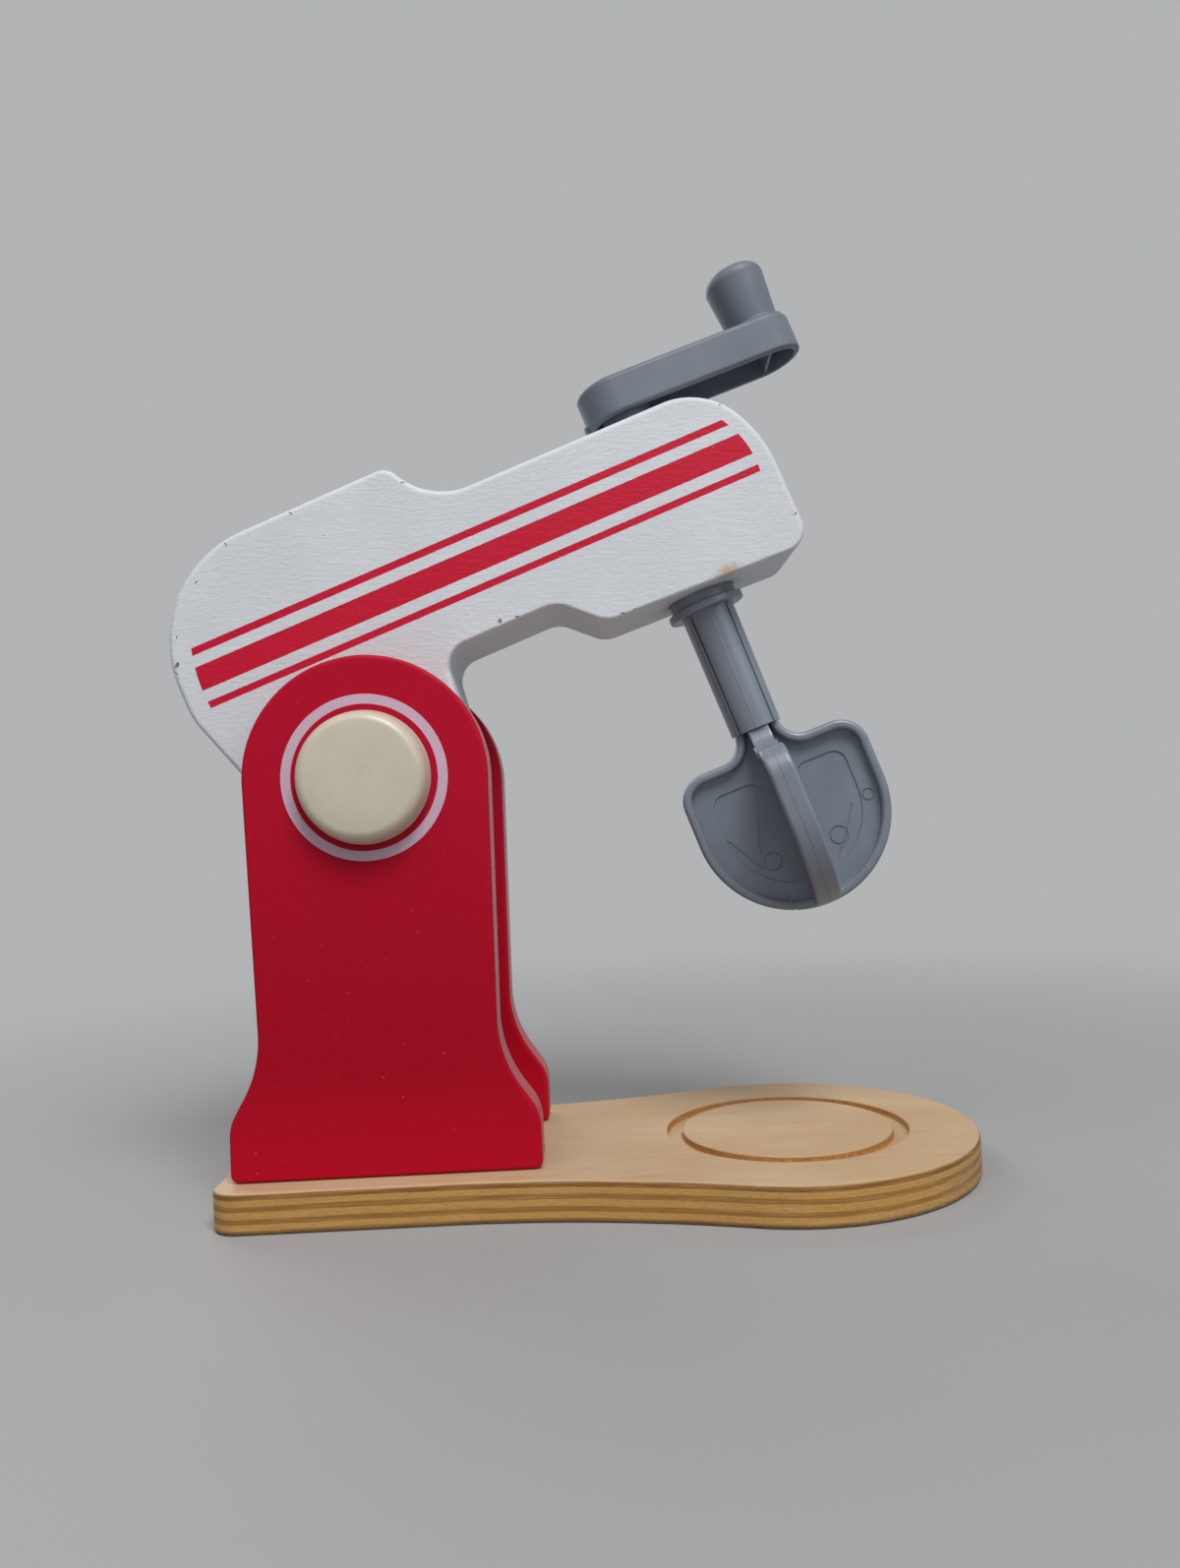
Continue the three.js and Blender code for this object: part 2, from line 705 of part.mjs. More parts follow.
function driveSleeve() {
  const tube = drive.tubeDiameter / 2;
  const tip = drive.tubeTipDiameter / 2;
  const flange = drive.flangeDiameter / 2;
  const round = drive.flangeRound;
  const body = turned([
    [0, tubeBottom],
    [tip, tubeBottom],
    [tube, flangeBottom],
    [flange - round, flangeBottom],
    [flange, flangeBottom + round],
    [flange, flangeTop - round],
    [flange - round, flangeTop],
    [drive.journalDiameter / 2, flangeTop],
    [drive.journalDiameter / 2, journalTop],
    [0, journalTop],
  ], facet.round);
  const bore = rod(tip - drive.tubeWall, tubeBottom - fit.overrun, floorBottom,
    facet.round);
  const socket = key(drive.keyAcross + 2 * fit.gap, floorTop, journalTop + fit.overrun);
  const screwHole = rod(driveScrew.shankDiameter / 2 + fit.gap, floorBottom - fit.overrun,
    floorTop + fit.overrun, facet.small);
  const length = flangeBottom - tubeBottom + fit.overrun;
  const grooves = Array.from({ length: drive.lobes }, (_, i) => solid(new THREE.BoxGeometry(
    2 * drive.lobeGrooveDepth, drive.lobeGrooveWidth, length)
    .translate(tube, 0, flangeBottom - length / 2))
    .rotate([0, 0, (i + 0.5) * 360 / drive.lobes]));
  return named('drive_sleeve', cut(body, [bore, socket, screwHole, ...grooves]), finish.grey);
}

// One vane pair seen flat, drawn in from its edge by inset
function beaterOutline(inset) {
  const half = beater.halfWidth - inset;
  const stem = beater.stemHalfWidth - inset;
  const shoulder = tubeBottom - beater.shoulderDrop - inset;
  const neckRadius = beater.neckRadius + inset;
  const cornerRadius = beater.shoulderRadius - inset;
  const top = tubeBottom + beater.plugLength - inset;
  const bottom = arc(0, roundCentre, half, 2 * quarterTurn, 4 * quarterTurn);
  return outline([
    [stem, top, 0],
    [-stem, top, 0],
    [-stem, shoulder, neckRadius],
    [-half, shoulder, cornerRadius],
    ...bottom.map((point) => [point.x, point.y, 0]),
    [half, shoulder, cornerRadius],
    [stem, shoulder, neckRadius],
  ]);
}

// The shallow sunk panel in one half of a vane
function sunkPanel(side) {
  const inset = beater.rimDepth + beater.panelInset;
  const near = beater.panelFromCentre;
  const far = beater.halfWidth - inset;
  const top = tubeBottom - beater.shoulderDrop - inset;
  const radius = beater.panelCornerRadius;
  const end = Math.acos(near / far);
  const sweep = arc(0, roundCentre, far, 0, -end).map((point) => [point.x, point.y, 0]);
  sweep[sweep.length - 1][2] = radius;
  const corners = [[near, top, radius], [far, top, radius], ...sweep];
  return outline(side > 0 ? corners : corners.map(([x, y, r]) => [-x, y, r]).reverse());
}

function vanePair() {
  const rimShape = beaterOutline(0);
  rimShape.holes.push(new THREE.Path(beaterOutline(beater.rimDepth).getPoints()));
  const rim = uprightPlate(rimShape, beater.rimWidth, beater.rimRound, 0, 1);
  const web = uprightPlate(beaterOutline(beater.rimDepth / 2), beater.webThickness, 0, 0);
  const face = beater.webThickness / 2;
  const pockets = [-1, 1].flatMap((side) => [-face, face].map((y) => uprightPlate(
    sunkPanel(side), 2 * beater.panelSink, 0, y)));
  return rim.add(cut(web, pockets));
}

function beaterPiece() {
  const pair = vanePair();
  const crossed = pair.rotate([0, 0, 90]);
  // The stem is trimmed round so that it plugs into the sleeve
  const plugRadius = drive.tubeTipDiameter / 2 - drive.tubeWall - fit.gap;
  const tall = tubeBottom + beater.plugLength - roundCentre;
  const stemEnd = tubeBottom - fit.gap;
  const collar = rod(beater.halfWidth, stemEnd, stemEnd + tall, facet.small)
    .subtract(rod(plugRadius, stemEnd - fit.overrun, stemEnd + tall + fit.overrun, facet.round));
  // Above this step the front and back rims are narrower
  const step = beater.neckRimStep;
  const stepZ = stemEnd - beater.neckRimDrop;
  const stepTrim = [-1, 1].map((side) => solid(new THREE.BoxGeometry(
    2 * step, 2 * beater.halfWidth, tall)
    .translate(side * beater.rimWidth / 2, 0, stepZ + tall / 2)));
  return named('beater', cut(joined([pair, cut(crossed, stepTrim)]), [collar]), finish.grey);
}

function driveWasherPiece() {
  const top = floorBottom - fit.gap;
  const bottom = top - driveScrew.washerThickness;
  const disc = rod(driveScrew.washerDiameter / 2, bottom, top, facet.round);
  const bore = rod(driveScrew.shankDiameter / 2 + fit.gap, bottom - fit.overrun,
    top + fit.overrun, facet.small);
  return named('drive_washer', disc.subtract(bore), finish.steel);
}

function driveScrewPiece() {
  const seat = floorBottom - 2 * fit.gap - driveScrew.washerThickness;
  const bottom = seat - driveScrew.headHeight;
  const shank = driveScrew.shankDiameter / 2;
  return named('drive_screw', turned([
    [0, bottom],
    [driveScrew.headDiameter / 2 - fit.gap, bottom],
    [driveScrew.headDiameter / 2, bottom + fit.gap],
    [driveScrew.headDiameter / 2, seat],
    [shank, seat],
    [shank, seat + driveScrew.length - driveScrew.shankDiameter],
    [0, seat + driveScrew.length],
  ], facet.small), finish.steel);
}

const stand = new THREE.Group();
stand.add(
  baseBoard(),
  sidePanel('side_panel_right', -1),
  sidePanel('side_panel_left', 1),
  standSpacer(),
  crossDowelPiece('stop_dowel', stop.dowelDiameter, pivotZ - stop.radius),
  crossDowelPiece('cross_dowel_lower', crossDowel.diameter, lowerDowelZ),
  crossDowelPiece('cross_dowel_upper', crossDowel.diameter, upperDowelZ),
  locatingDowelPiece('locating_dowel_right', -1),
  locatingDowelPiece('locating_dowel_left', 1),
  ...screwPlaces().map(woodScrewPiece),
);

const dial = new THREE.Group();
dial.add(pivotAxle(), dialKnob('dial_knob_right', -1), dialKnob('dial_knob_left', 1));

const upperDrive = new THREE.Group();
upperDrive.rotation.z = drive.crankTurn * degrees;
upperDrive.add(crankHandle());

const lowerDrive = new THREE.Group();
lowerDrive.rotation.z = drive.beaterTurn * degrees;
lowerDrive.add(driveSleeve(), beaterPiece(), driveWasherPiece(), driveScrewPiece());

const driveLine = new THREE.Group();
driveLine.position.x = driveX;
driveLine.rotation.y = drive.lean * degrees;
driveLine.add(crankBush(), upperDrive, lowerDrive);

const tiltingHead = new THREE.Group();
tiltingHead.position.set(pivotX, 0, pivotZ);
tiltingHead.rotation.y = -pivot.tilt * degrees;
tiltingHead.add(mixerHead(), tiltWasherPiece('tilt_washer_right', -1),
  tiltWasherPiece('tilt_washer_left', 1), driveLine);

const mixer = new THREE.Group();
mixer.add(stand, dial, tiltingHead);

export default mixer;
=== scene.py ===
import json
import math

import bmesh
import bpy
from mathutils import Matrix, Vector, noise


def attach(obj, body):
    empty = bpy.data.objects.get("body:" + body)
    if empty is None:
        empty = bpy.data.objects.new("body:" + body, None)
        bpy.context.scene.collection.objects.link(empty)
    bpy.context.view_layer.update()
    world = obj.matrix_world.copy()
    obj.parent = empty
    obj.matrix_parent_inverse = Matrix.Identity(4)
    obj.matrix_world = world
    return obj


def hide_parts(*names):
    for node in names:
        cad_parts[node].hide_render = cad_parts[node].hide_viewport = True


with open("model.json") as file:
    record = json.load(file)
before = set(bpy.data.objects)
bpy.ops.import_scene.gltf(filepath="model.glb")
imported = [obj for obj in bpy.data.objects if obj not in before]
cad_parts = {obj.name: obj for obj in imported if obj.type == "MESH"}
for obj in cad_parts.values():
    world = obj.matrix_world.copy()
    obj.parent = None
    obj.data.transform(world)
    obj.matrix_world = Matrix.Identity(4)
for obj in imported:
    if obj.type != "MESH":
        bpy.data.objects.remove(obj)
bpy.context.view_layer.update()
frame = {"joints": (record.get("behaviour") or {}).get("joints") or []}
mm = 0.001
quarterTurn = math.pi / 2
gap = 0.3  # between pieces that touch, in millimetres
spare = 2  # how far a cutter runs past what it cuts


def at(x=0, y=0, z=0):
    return Matrix.Translation((x, y, z))


def about(axis, angle):
    return Matrix.Rotation(angle, 4, axis)


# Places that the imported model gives, in millimetres
joints = {joint["name"]: joint for joint in frame["joints"]}
pivot = Vector(joints["head_tilt"]["pos_m"]) / mm
tilt = -math.radians(joints["head_tilt"]["range_deg"][0])
driveStart = Vector(joints["crank_spin"]["pos_m"]) / mm
driveAxis = Vector(joints["crank_spin"]["axis"])
driveSlant = math.atan2(driveAxis.x, driveAxis.z)
driveTurns = {"crank": 4, "beater": -5.5}  # degrees that they stand turned at rest
headPlace = at(*pivot) @ about("Y", -tilt)
bushPlace = at(*driveStart) @ about("Y", driveSlant)
crankPlace, beaterPlace = (bushPlace @ about("Z", math.radians(driveTurns[name]))
                           for name in ("crank", "beater"))
standPlace = at(pivot.x)
upright = about("X", quarterTurn)

fineness = {
    "sag": 0.012,  # most that a straight stretch may lie off its arc
    "angle": 9,  # most degrees for one stretch
    "weld": 0.0005,  # points nearer than this become one
    "sharp": 34,  # degrees past which an edge stays crisp
    "sides": 64,  # of a small round piece
    "holeSides": 24,
    "wideSides": 128,  # of the dial knobs and the studio
}


# Shapes: everything is made in millimetres and brought to metres when it is finished

def arc(x, y, radius, start, end):
    bySag = 2 * math.acos(max(0, 1 - fineness["sag"] / radius))
    step = min(bySag, math.radians(fineness["angle"]))
    count = max(2, math.ceil(abs(end - start) / step))
    angles = [start + (end - start) * i / count for i in range(count + 1)]
    return [Vector((x + radius * math.cos(a), y + radius * math.sin(a))) for a in angles]


def corners(points, radius=0):
    return [(point.x, point.y, radius) for point in points]


# A closed outline, anticlockwise, from corners (x, y, radius)
def outline(cornerList):
    points = [Vector(corner[:2]) for corner in cornerList]
    count = len(points)
    backs = [(points[i - 1] - points[i]).normalized() for i in range(count)]
    aheads = [(points[(i + 1) % count] - points[i]).normalized() for i in range(count)]
    halves = [math.acos(max(-1, min(1, backs[i].dot(aheads[i])))) / 2 for i in range(count)]
    wanted = [corner[2] / math.tan(half) if corner[2] else 0
              for corner, half in zip(cornerList, halves)]
    room = []
    for i in range(count):
        total = wanted[i] + wanted[(i + 1) % count]
        side = (points[(i + 1) % count] - points[i]).length
        room.append(min(1, side / total) if total else 1)
    made = []
    for i in range(count):
        reach = wanted[i] * min(room[i], room[i - 1])
        if reach == 0:
            made.append(points[i])
            continue
        middle = (backs[i] + aheads[i]).normalized()
        centre = points[i] + middle * reach / math.cos(halves[i])
        start = points[i] + backs[i] * reach - centre
        end = points[i] + aheads[i] * reach - centre
        angle = math.atan2(start.y, start.x)
        turn = math.atan2(start.x * end.y - start.y * end.x, start.dot(end))
        made += arc(centre.x, centre.y, start.length, angle, angle + turn)
    return [point for i, point in enumerate(made)
            if (point - made[i - 1]).length > fineness["weld"]]


# How each point of an outline moves for each millimetre that the outline is drawn in
def inwards(shape):
    moves = []
    for i, point in enumerate(shape):
        before = (point - shape[i - 1]).normalized()
        after = (shape[(i + 1) % len(shape)] - point).normalized()
        first = Vector((-before.y, before.x))
        middle = (first + Vector((-after.y, after.x))).normalized()
        moves.append(middle / max(0.5, middle.dot(first)))
    return moves


def addObject(name, mesh):
    piece = bpy.data.objects.new(name, mesh)
    bpy.context.scene.collection.objects.link(piece)
    return piece


def tidyMesh(mesh, flecks=0.0):
    work = bmesh.new()
    work.from_mesh(mesh)
    bmesh.ops.remove_doubles(work, verts=work.verts, dist=fineness["weld"])
    if flecks:
        bmesh.ops.dissolve_degenerate(work, edges=work.edges, dist=flecks)
    bmesh.ops.recalc_face_normals(work, faces=work.faces)
    work.to_mesh(mesh)
    work.free()


def makePiece(name, points, faces):
    mesh = bpy.data.meshes.new(name)
    mesh.from_pydata(points, [], faces)
    tidyMesh(mesh)
    return addObject(name, mesh)


# A skin over rings with the same number of points, closed by a flat face at each end
def skin(name, rings, endless=False):
    count = len(rings[0])
    faces = []
    for row in range(len(rings) if endless else len(rings) - 1):
        low, high = row * count, (row + 1) % len(rings) * count
        faces += [(low + i, low + (i + 1) % count, high + (i + 1) % count, high + i)
                  for i in range(count)]
    if not endless:
        last = (len(rings) - 1) * count
        faces += [tuple(range(count)), tuple(range(last, last + count))]
    return makePiece(name, [point for ring in rings for point in ring], faces)


# Rows say how far in and how high each ring of an outline lies
def layered(name, shape, rows):
    moves = inwards(shape)
    return skin(name, [[(point + move * inset).to_3d() + Vector((0, 0, height))
                        for point, move in zip(shape, moves)] for inset, height in rows])


sanding = {
    "wave": 9,  # millimetres from one high place of an edge to the next, about
    "flat": 1.35,  # width of the strip beside the edge, as a share of the edge
    "underSlope": 1.5,  # how soon an edge that faces down takes the easing of the underside
}


# A sheet of wood with eased edges. Hand sanding makes them uneven along the way.
def plate(name, shape, thickness, edge, uneven=0.0, steps=6, seed=0.0, under=None):
    moves, wave = inwards(shape), sanding["wave"]
    turns = [quarterTurn * i / steps for i in range(steps + 1)]
    easing = [(1 - math.sin(turn), 1 - math.cos(turn)) for turn in turns]
    rings = []
    for top in (False, True):
        rows = [(sanding["flat"], 0.0)] + easing  # the strip keeps the face flat
        for inset, rise in reversed(rows) if top else rows:
            ring = []
            for point, move in zip(shape, moves):
                spot = Vector((point.x / wave, point.y / wave, seed + 7 * top))
                downward = max(0, min(1, move.y * sanding["underSlope"])) if under else 0
                ease = edge + ((under or edge) - edge) * downward
                ease *= 1 + uneven * noise.noise(spot)
                height = thickness - ease * rise if top else ease * rise
                ring.append((point + move * ease * inset).to_3d() + Vector((0, 0, height)))
            rings.append(ring)
    return skin(name, rings)


# A turned piece about Z from (radius, height) rows
def turned(name, profile, sides=fineness["sides"], endless=False):
    angles = [2 * math.pi * i / sides for i in range(sides)]
    return skin(name, [[Vector((radius * math.cos(a), radius * math.sin(a), height))
                        for a in angles] for radius, height in profile], endless)


def roundRow(radius, height, size, start, end):
    return [(point.x, point.y) for point in arc(radius, height, size, start, end)]


def rod(name, radius, low, high, sides=fineness["sides"], chamfer=0.0):
    rows = [(radius, low + chamfer), (radius, high - chamfer)]
    if chamfer:
        rows = [(radius - chamfer, low), *rows, (radius - chamfer, high)]
    return turned(name, rows, sides)


def block(name, size, centre):
    x, y, z = (length / 2 for length in size)
    shape = [Vector((-x, -y)), Vector((x, -y)), Vector((x, y)), Vector((-x, y))]
    return moved(layered(name, shape, [(0, -z), (0, z)]), at(*centre))


def moved(piece, matrix):
    piece.data.transform(matrix)
    return piece


def crossRod(name, radius, low, high, x, z, sides=fineness["sides"]):
    return moved(rod(name, radius, low, high, sides), at(x, 0, z) @ about("X", -quarterTurn))


# Writes what the modifiers make into the mesh
def settle(piece):
    bpy.context.view_layer.update()
    shown = piece.evaluated_get(bpy.context.evaluated_depsgraph_get())
    mesh = bpy.data.meshes.new_from_object(shown)
    old = piece.data
    piece.modifiers.clear()
    piece.data = mesh
    bpy.data.meshes.remove(old)
    return piece


def combine(piece, others, operation="DIFFERENCE"):
    for other in others:
        modifier = piece.modifiers.new("combine", "BOOLEAN")
        modifier.operation = operation
        modifier.solver = "MANIFOLD"
        modifier.object = other
        settle(piece)
        bpy.data.objects.remove(other)
    return piece


def join(piece, others):
    return combine(piece, others, "UNION")


# Brings a piece to metres, smooths it, and hangs it on its body
def finishPiece(piece, finish, body, slot, *nodes):
    tidyMesh(piece.data, fineness["weld"] / 5)
    piece.data.transform(Matrix.Scale(mm, 4))
    piece.data.materials.clear()
    piece.data.materials.append(finish)
    piece.data.shade_smooth()
    piece.data.set_sharp_from_angle(angle=math.radians(fineness["sharp"]))
    modifier = piece.modifiers.new("flats", "WEIGHTED_NORMAL")
    modifier.keep_sharp = True
    settle(piece)
    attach(piece, body)
    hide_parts(*nodes)
    print(f"  {piece.name}: {len(piece.data.polygons)} faces")
    return piece


# Geometry nodes: a new tree, and a short call that adds a node and feeds its inputs
def startTree(name, *sockets):
    tree = bpy.data.node_groups.new(name, "GeometryNodeTree")
    for label, kind in (("Geometry", "Geometry"), *sockets, ("Finish", "Material")):
        tree.interface.new_socket(label, in_out="INPUT", socket_type="NodeSocket" + kind)
    tree.interface.new_socket("Geometry", in_out="OUTPUT", socket_type="NodeSocketGeometry")

    def node(kind, inputs, **settings):
        made = tree.nodes.new(kind)
        for key, value in settings.items():
            setattr(made, key, value)
        for socket, value in inputs.items():
            if isinstance(value, bpy.types.NodeSocket):
                tree.links.new(value, made.inputs[socket])
            else:
                made.inputs[socket].default_value = value
        return made

    return tree, node, node("NodeGroupInput", {}).outputs


def endTree(node, made, finish):
    real = node("GeometryNodeRealizeInstances", {0: made.outputs[0]})
    paint = node("GeometryNodeSetMaterial", {0: real.outputs[0], "Material": finish})
    node("NodeGroupOutput", {0: paint.outputs[0]})


def useTree(piece, tree, values):
    modifier = piece.modifiers.new(tree.name, "NODES")
    modifier.node_group = tree
    for item in tree.interface.items_tree:
        if item.in_out == "INPUT" and item.name in values:
            modifier[item.identifier] = values[item.name]
    settle(piece)
    tidyMesh(piece.data)
    return piece


# Materials: short calls for the nodes of one material

def tone(red, green, blue):
    linear = [((value / 255 + 0.055) / 1.055) ** 2.4 for value in (red, green, blue)]
    return (*linear, 1)


class Finish:
    def __init__(self, name, place=Matrix.Identity(4), **sockets):
        self.material = bpy.data.materials.new(name)
        self.material.use_nodes = True
        self.tree = self.material.node_tree
        self.shader = self.tree.nodes["Principled BSDF"]
        for socket, value in sockets.items():
            self.shader.inputs[socket.replace("_", " ")].default_value = value
        self.place = self.millimetres(place)

    def feed(self, socket, value):
        if isinstance(value, bpy.types.NodeSocket):
            self.tree.links.new(value, socket)
        elif value is not None:
            socket.default_value = value

    def node(self, kind, inputs, **settings):
        made = self.tree.nodes.new("ShaderNode" + kind)
        for key, value in settings.items():
            setattr(made, key, value)
        for socket, value in inputs.items():
            self.feed(made.inputs[socket], value)
        return made

    # Millimetres in the frame of a piece that stands at this place
    def millimetres(self, place):
        source = self.node("TexCoord", {})
        mapping = self.node("Mapping", {
            "Vector": source.outputs["Object"], "Location": place.translation * mm,
            "Rotation": place.to_euler("XYZ"), "Scale": (mm, mm, mm)}, vector_type="TEXTURE")
        return mapping.outputs[0]

    def split(self, vector):
        return list(self.node("SeparateXYZ", {0: vector}).outputs)

    def stretched(self, *scale):
        return self.node("Mapping", {"Vector": self.place, "Scale": scale}).outputs[0]

    def calc(self, operation, first, second=None):
        return self.node("Math", {0: first, 1: second}, operation=operation).outputs[0]

    # 0 below low, 1 above high, and the other way round if low is the larger
    def ramp(self, value, low, high, bottom=0.0, top=1.0):
        return self.node("MapRange", {
            "Value": value, "From Min": low, "From Max": high, "To Min": bottom,
            "To Max": top}, interpolation_type="SMOOTHSTEP").outputs[0]

    def band(self, value, low, high, soft):
        return self.all(self.ramp(value, low - soft, low + soft),
                        self.ramp(value, high + soft, high - soft))

    def gather(self, operation, values):
        whole = values[0]
        for value in values[1:]:
            whole = self.calc(operation, whole, value)
        return whole

    def all(self, *values):
        return self.gather("MULTIPLY", values)

    def any(self, *values):
        return self.gather("MAXIMUM", values)

    def sum(self, *values):
        return self.gather("ADD", values)

    def noise(self, scale, detail=3.0, roughness=0.55, vector=None):
        return self.node("TexNoise", {
            "Vector": vector or self.place, "Scale": scale, "Detail": detail,
            "Roughness": roughness}).outputs[0]

    def distance(self, point, vector=None):
        return self.node("VectorMath", {0: vector or self.place, 1: point},
                         operation="DISTANCE").outputs["Value"]

    def across(self, first, second):
        return self.calc("SQRT", self.sum(self.all(first, first), self.all(second, second)))

    def mix(self, amount, first, second):
        return self.node("Mix", {0: amount, 6: first, 7: second}, data_type="RGBA").outputs[2]

    # Lays a second colour over the first, where the cover is, as strongly as the share says
    def lay(self, colour, cover, second, share=1.0):
        return self.mix(cover if share == 1 else self.all(cover, share), colour, second)

    # Heights in millimetres
    def finish(self, colour, height, roughness=None):
        self.feed(self.shader.inputs["Base Color"], colour)
        self.feed(self.shader.inputs["Roughness"], roughness)
        bump = self.node("Bump", {"Strength": 1.0, "Distance": mm, "Height": height})
        self.feed(self.shader.inputs["Normal"], bump.outputs[0])
        return self.material


print("base board")
base = {
    "length": 237,
    "thickness": 12,
    "discRadius": 60.4,
    "tailHalfWidth": 43,
    "tailCornerRadius": 9,
    "flareStart": 69.5,
    "easedEdge": 1.1,
    "uneven": 0.22,  # share by which hand sanding varies the edge
    "grooveInnerRadius": 34,
    "grooveWidth": 5,
    "grooveDepth": 2.6,
    "grooveRound": 0.9,
    "grooveEase": 0.3,
    "plies": (1.45, 3.1, 4.8, 6.7, 8.4, 10.1, 11.7),  # heights where one layer meets the next
}
screw = {"hole": 2.3, "headHole": 4.3, "sink": 0.6, "headHeight": 2.6, "length": 34.0,
         "tip": 5.0}
dowel = {"hole": 3.3, "holeBottom": 4.7, "holeTop": 24.3, "radius": 3}
discX = base["length"] / 2 - base["discRadius"]
panelMidY = 27.1
screwPlaces = ([(pivot.x + x, y) for y in (-panelMidY, panelMidY) for x in (-28, 28)]
               + [(pivot.x + x, 0) for x in (-15, 15)])


def baseOutline():
    rear = -base["length"] / 2
    half, disc = base["tailHalfWidth"], base["discRadius"]
    flareX = rear + base["flareStart"]
    run = discX - flareX
    flareRadius = (run * run / (disc - half) - disc - half) / 2
    flareY = half + flareRadius
    turn = math.atan2(run, flareY)
    corner = base["tailCornerRadius"]
    cornerX, cornerY = rear + corner, half - corner
    return (arc(cornerX, -cornerY, corner, 2 * quarterTurn, 3 * quarterTurn)
            + arc(flareX, -flareY, flareRadius, quarterTurn, quarterTurn - turn)
            + arc(discX, 0, disc, -quarterTurn - turn, quarterTurn + turn)
            + arc(flareX, flareY, flareRadius, turn - quarterTurn, -quarterTurn)
            + arc(cornerX, cornerY, corner, quarterTurn, 2 * quarterTurn))


def screwHole(x, y):
    top = screw["sink"] + screw["length"] + gap
    wide = screw["sink"] + gap
    rows = [(screw["headHole"], -spare), (screw["headHole"], wide),
            (screw["hole"], wide + screw["headHeight"]), (screw["hole"], top - screw["tip"]),
            (0, top)]
    return moved(turned("hole", rows, 32), at(x, y))


def dowelHole(y, low, high):
    return moved(rod("hole", dowel["hole"], low, high, fineness["holeSides"]), at(pivot.x, y))


def grooveCutter():
    inner, ease, size = base["grooveInnerRadius"], base["grooveEase"], base["grooveRound"]
    outer, top = inner + base["grooveWidth"], base["thickness"]
    floor = top - base["grooveDepth"]
    rows = (roundRow(inner + size, floor + size, size, 2 * quarterTurn, 3 * quarterTurn)
            + roundRow(outer - size, floor + size, size, -quarterTurn, 0)
            + [(outer, top - ease), (outer + ease, top), (outer + ease, top + spare),
               (inner - ease, top + spare), (inner - ease, top), (inner, top - ease)])
    return moved(turned("groove", rows, 180, endless=True), at(discX))


def baseBoard():
    board = plate("baseBoard", baseOutline(), base["thickness"], base["easedEdge"],
                  base["uneven"])
    holes = [dowelHole(y, dowel["holeBottom"], base["thickness"] + spare)
             for y in (-panelMidY, panelMidY)]
    return combine(board, [grooveCutter(), *holes, *[screwHole(x, y) for x, y in screwPlaces]])


print("side panels and spacer")
panel = {
    "innerY": 20.1,
    "thickness": 14,
    "topRadius": 37.4,
    "waistBack": 35,
    "waistFront": 36.7,
    "waistTop": 45.8,
    "waistRadius": 36,
    "footBack": 44.8,
    "footFront": 48.6,
    "footTop": 29,
    "footRadius": 14,
    "footCornerRadius": 2.6,
    "easedEdge": 1.2,
    "uneven": 0.3,
    "bottom": 12.15,
}
bore = {"axle": 5.3, "dowel": 4.3, "seat": 28.4, "stop": 28, "lowerDowel": 34, "upperDowel": 66}
spacer = {"back": 26, "front": 27, "top": 84, "corner": 1.5, "easedEdge": 0.3, "width": 39.9}


def panelOutline():
    front = [(panel["footFront"], panel["bottom"], panel["footCornerRadius"]),
             (panel["footFront"], panel["footTop"], panel["footRadius"]),
             (panel["waistFront"], panel["waistTop"], panel["waistRadius"]),
             (panel["topRadius"], pivot.z, 0)]
    back = [(-panel["topRadius"], pivot.z, 0),
            (-panel["waistBack"], panel["waistTop"], panel["waistRadius"]),
            (-panel["footBack"], panel["footTop"], panel["footRadius"]),
            (-panel["footBack"], panel["bottom"], panel["footCornerRadius"])]
    crown = arc(0, pivot.z, panel["topRadius"], 0, 2 * quarterTurn)[1:-1]
    return outline([*front, *corners(crown), *back])


def sidePanel(name, side):
    board = plate(name, panelOutline(), panel["thickness"], panel["easedEdge"], panel["uneven"],
                  seed=side)
    moved(board, at(pivot.x, side * panelMidY + panel["thickness"] / 2) @ upright)
    inner, outer = panel["innerY"] - spare, panel["innerY"] + panel["thickness"] + spare

    def crossing(radius, end, z):
        return crossRod("hole", radius, *sorted((side * inner, side * end)), pivot.x, z)

    return combine(board, [
        crossing(bore["axle"], outer, pivot.z),
        crossing(bore["dowel"], bore["seat"], pivot.z - bore["stop"]),
        crossing(bore["dowel"], bore["seat"], bore["lowerDowel"]),
        crossing(bore["dowel"], bore["seat"], bore["upperDowel"]),
        dowelHole(side * panelMidY, 0, dowel["holeTop"]),
        *[screwHole(x, y) for x, y in screwPlaces if y * side > 0]])


def standSpacer():
    places = [(-spacer["back"], panel["bottom"]), (spacer["front"], panel["bottom"]),
              (spacer["front"], spacer["top"]), (-spacer["back"], spacer["top"])]
    shape = outline([(x, z, spacer["corner"]) for x, z in places])
    piece = plate("standSpacer", shape, spacer["width"], spacer["easedEdge"])
    moved(piece, at(pivot.x, spacer["width"] / 2) @ upright)
    half = spacer["width"] / 2 + spare
    return combine(piece, [
        *[crossRod("hole", bore["dowel"], -half, half, pivot.x, z)
          for z in (bore["lowerDowel"], bore["upperDowel"])],
        *[screwHole(x, y) for x, y in screwPlaces if y == 0]])


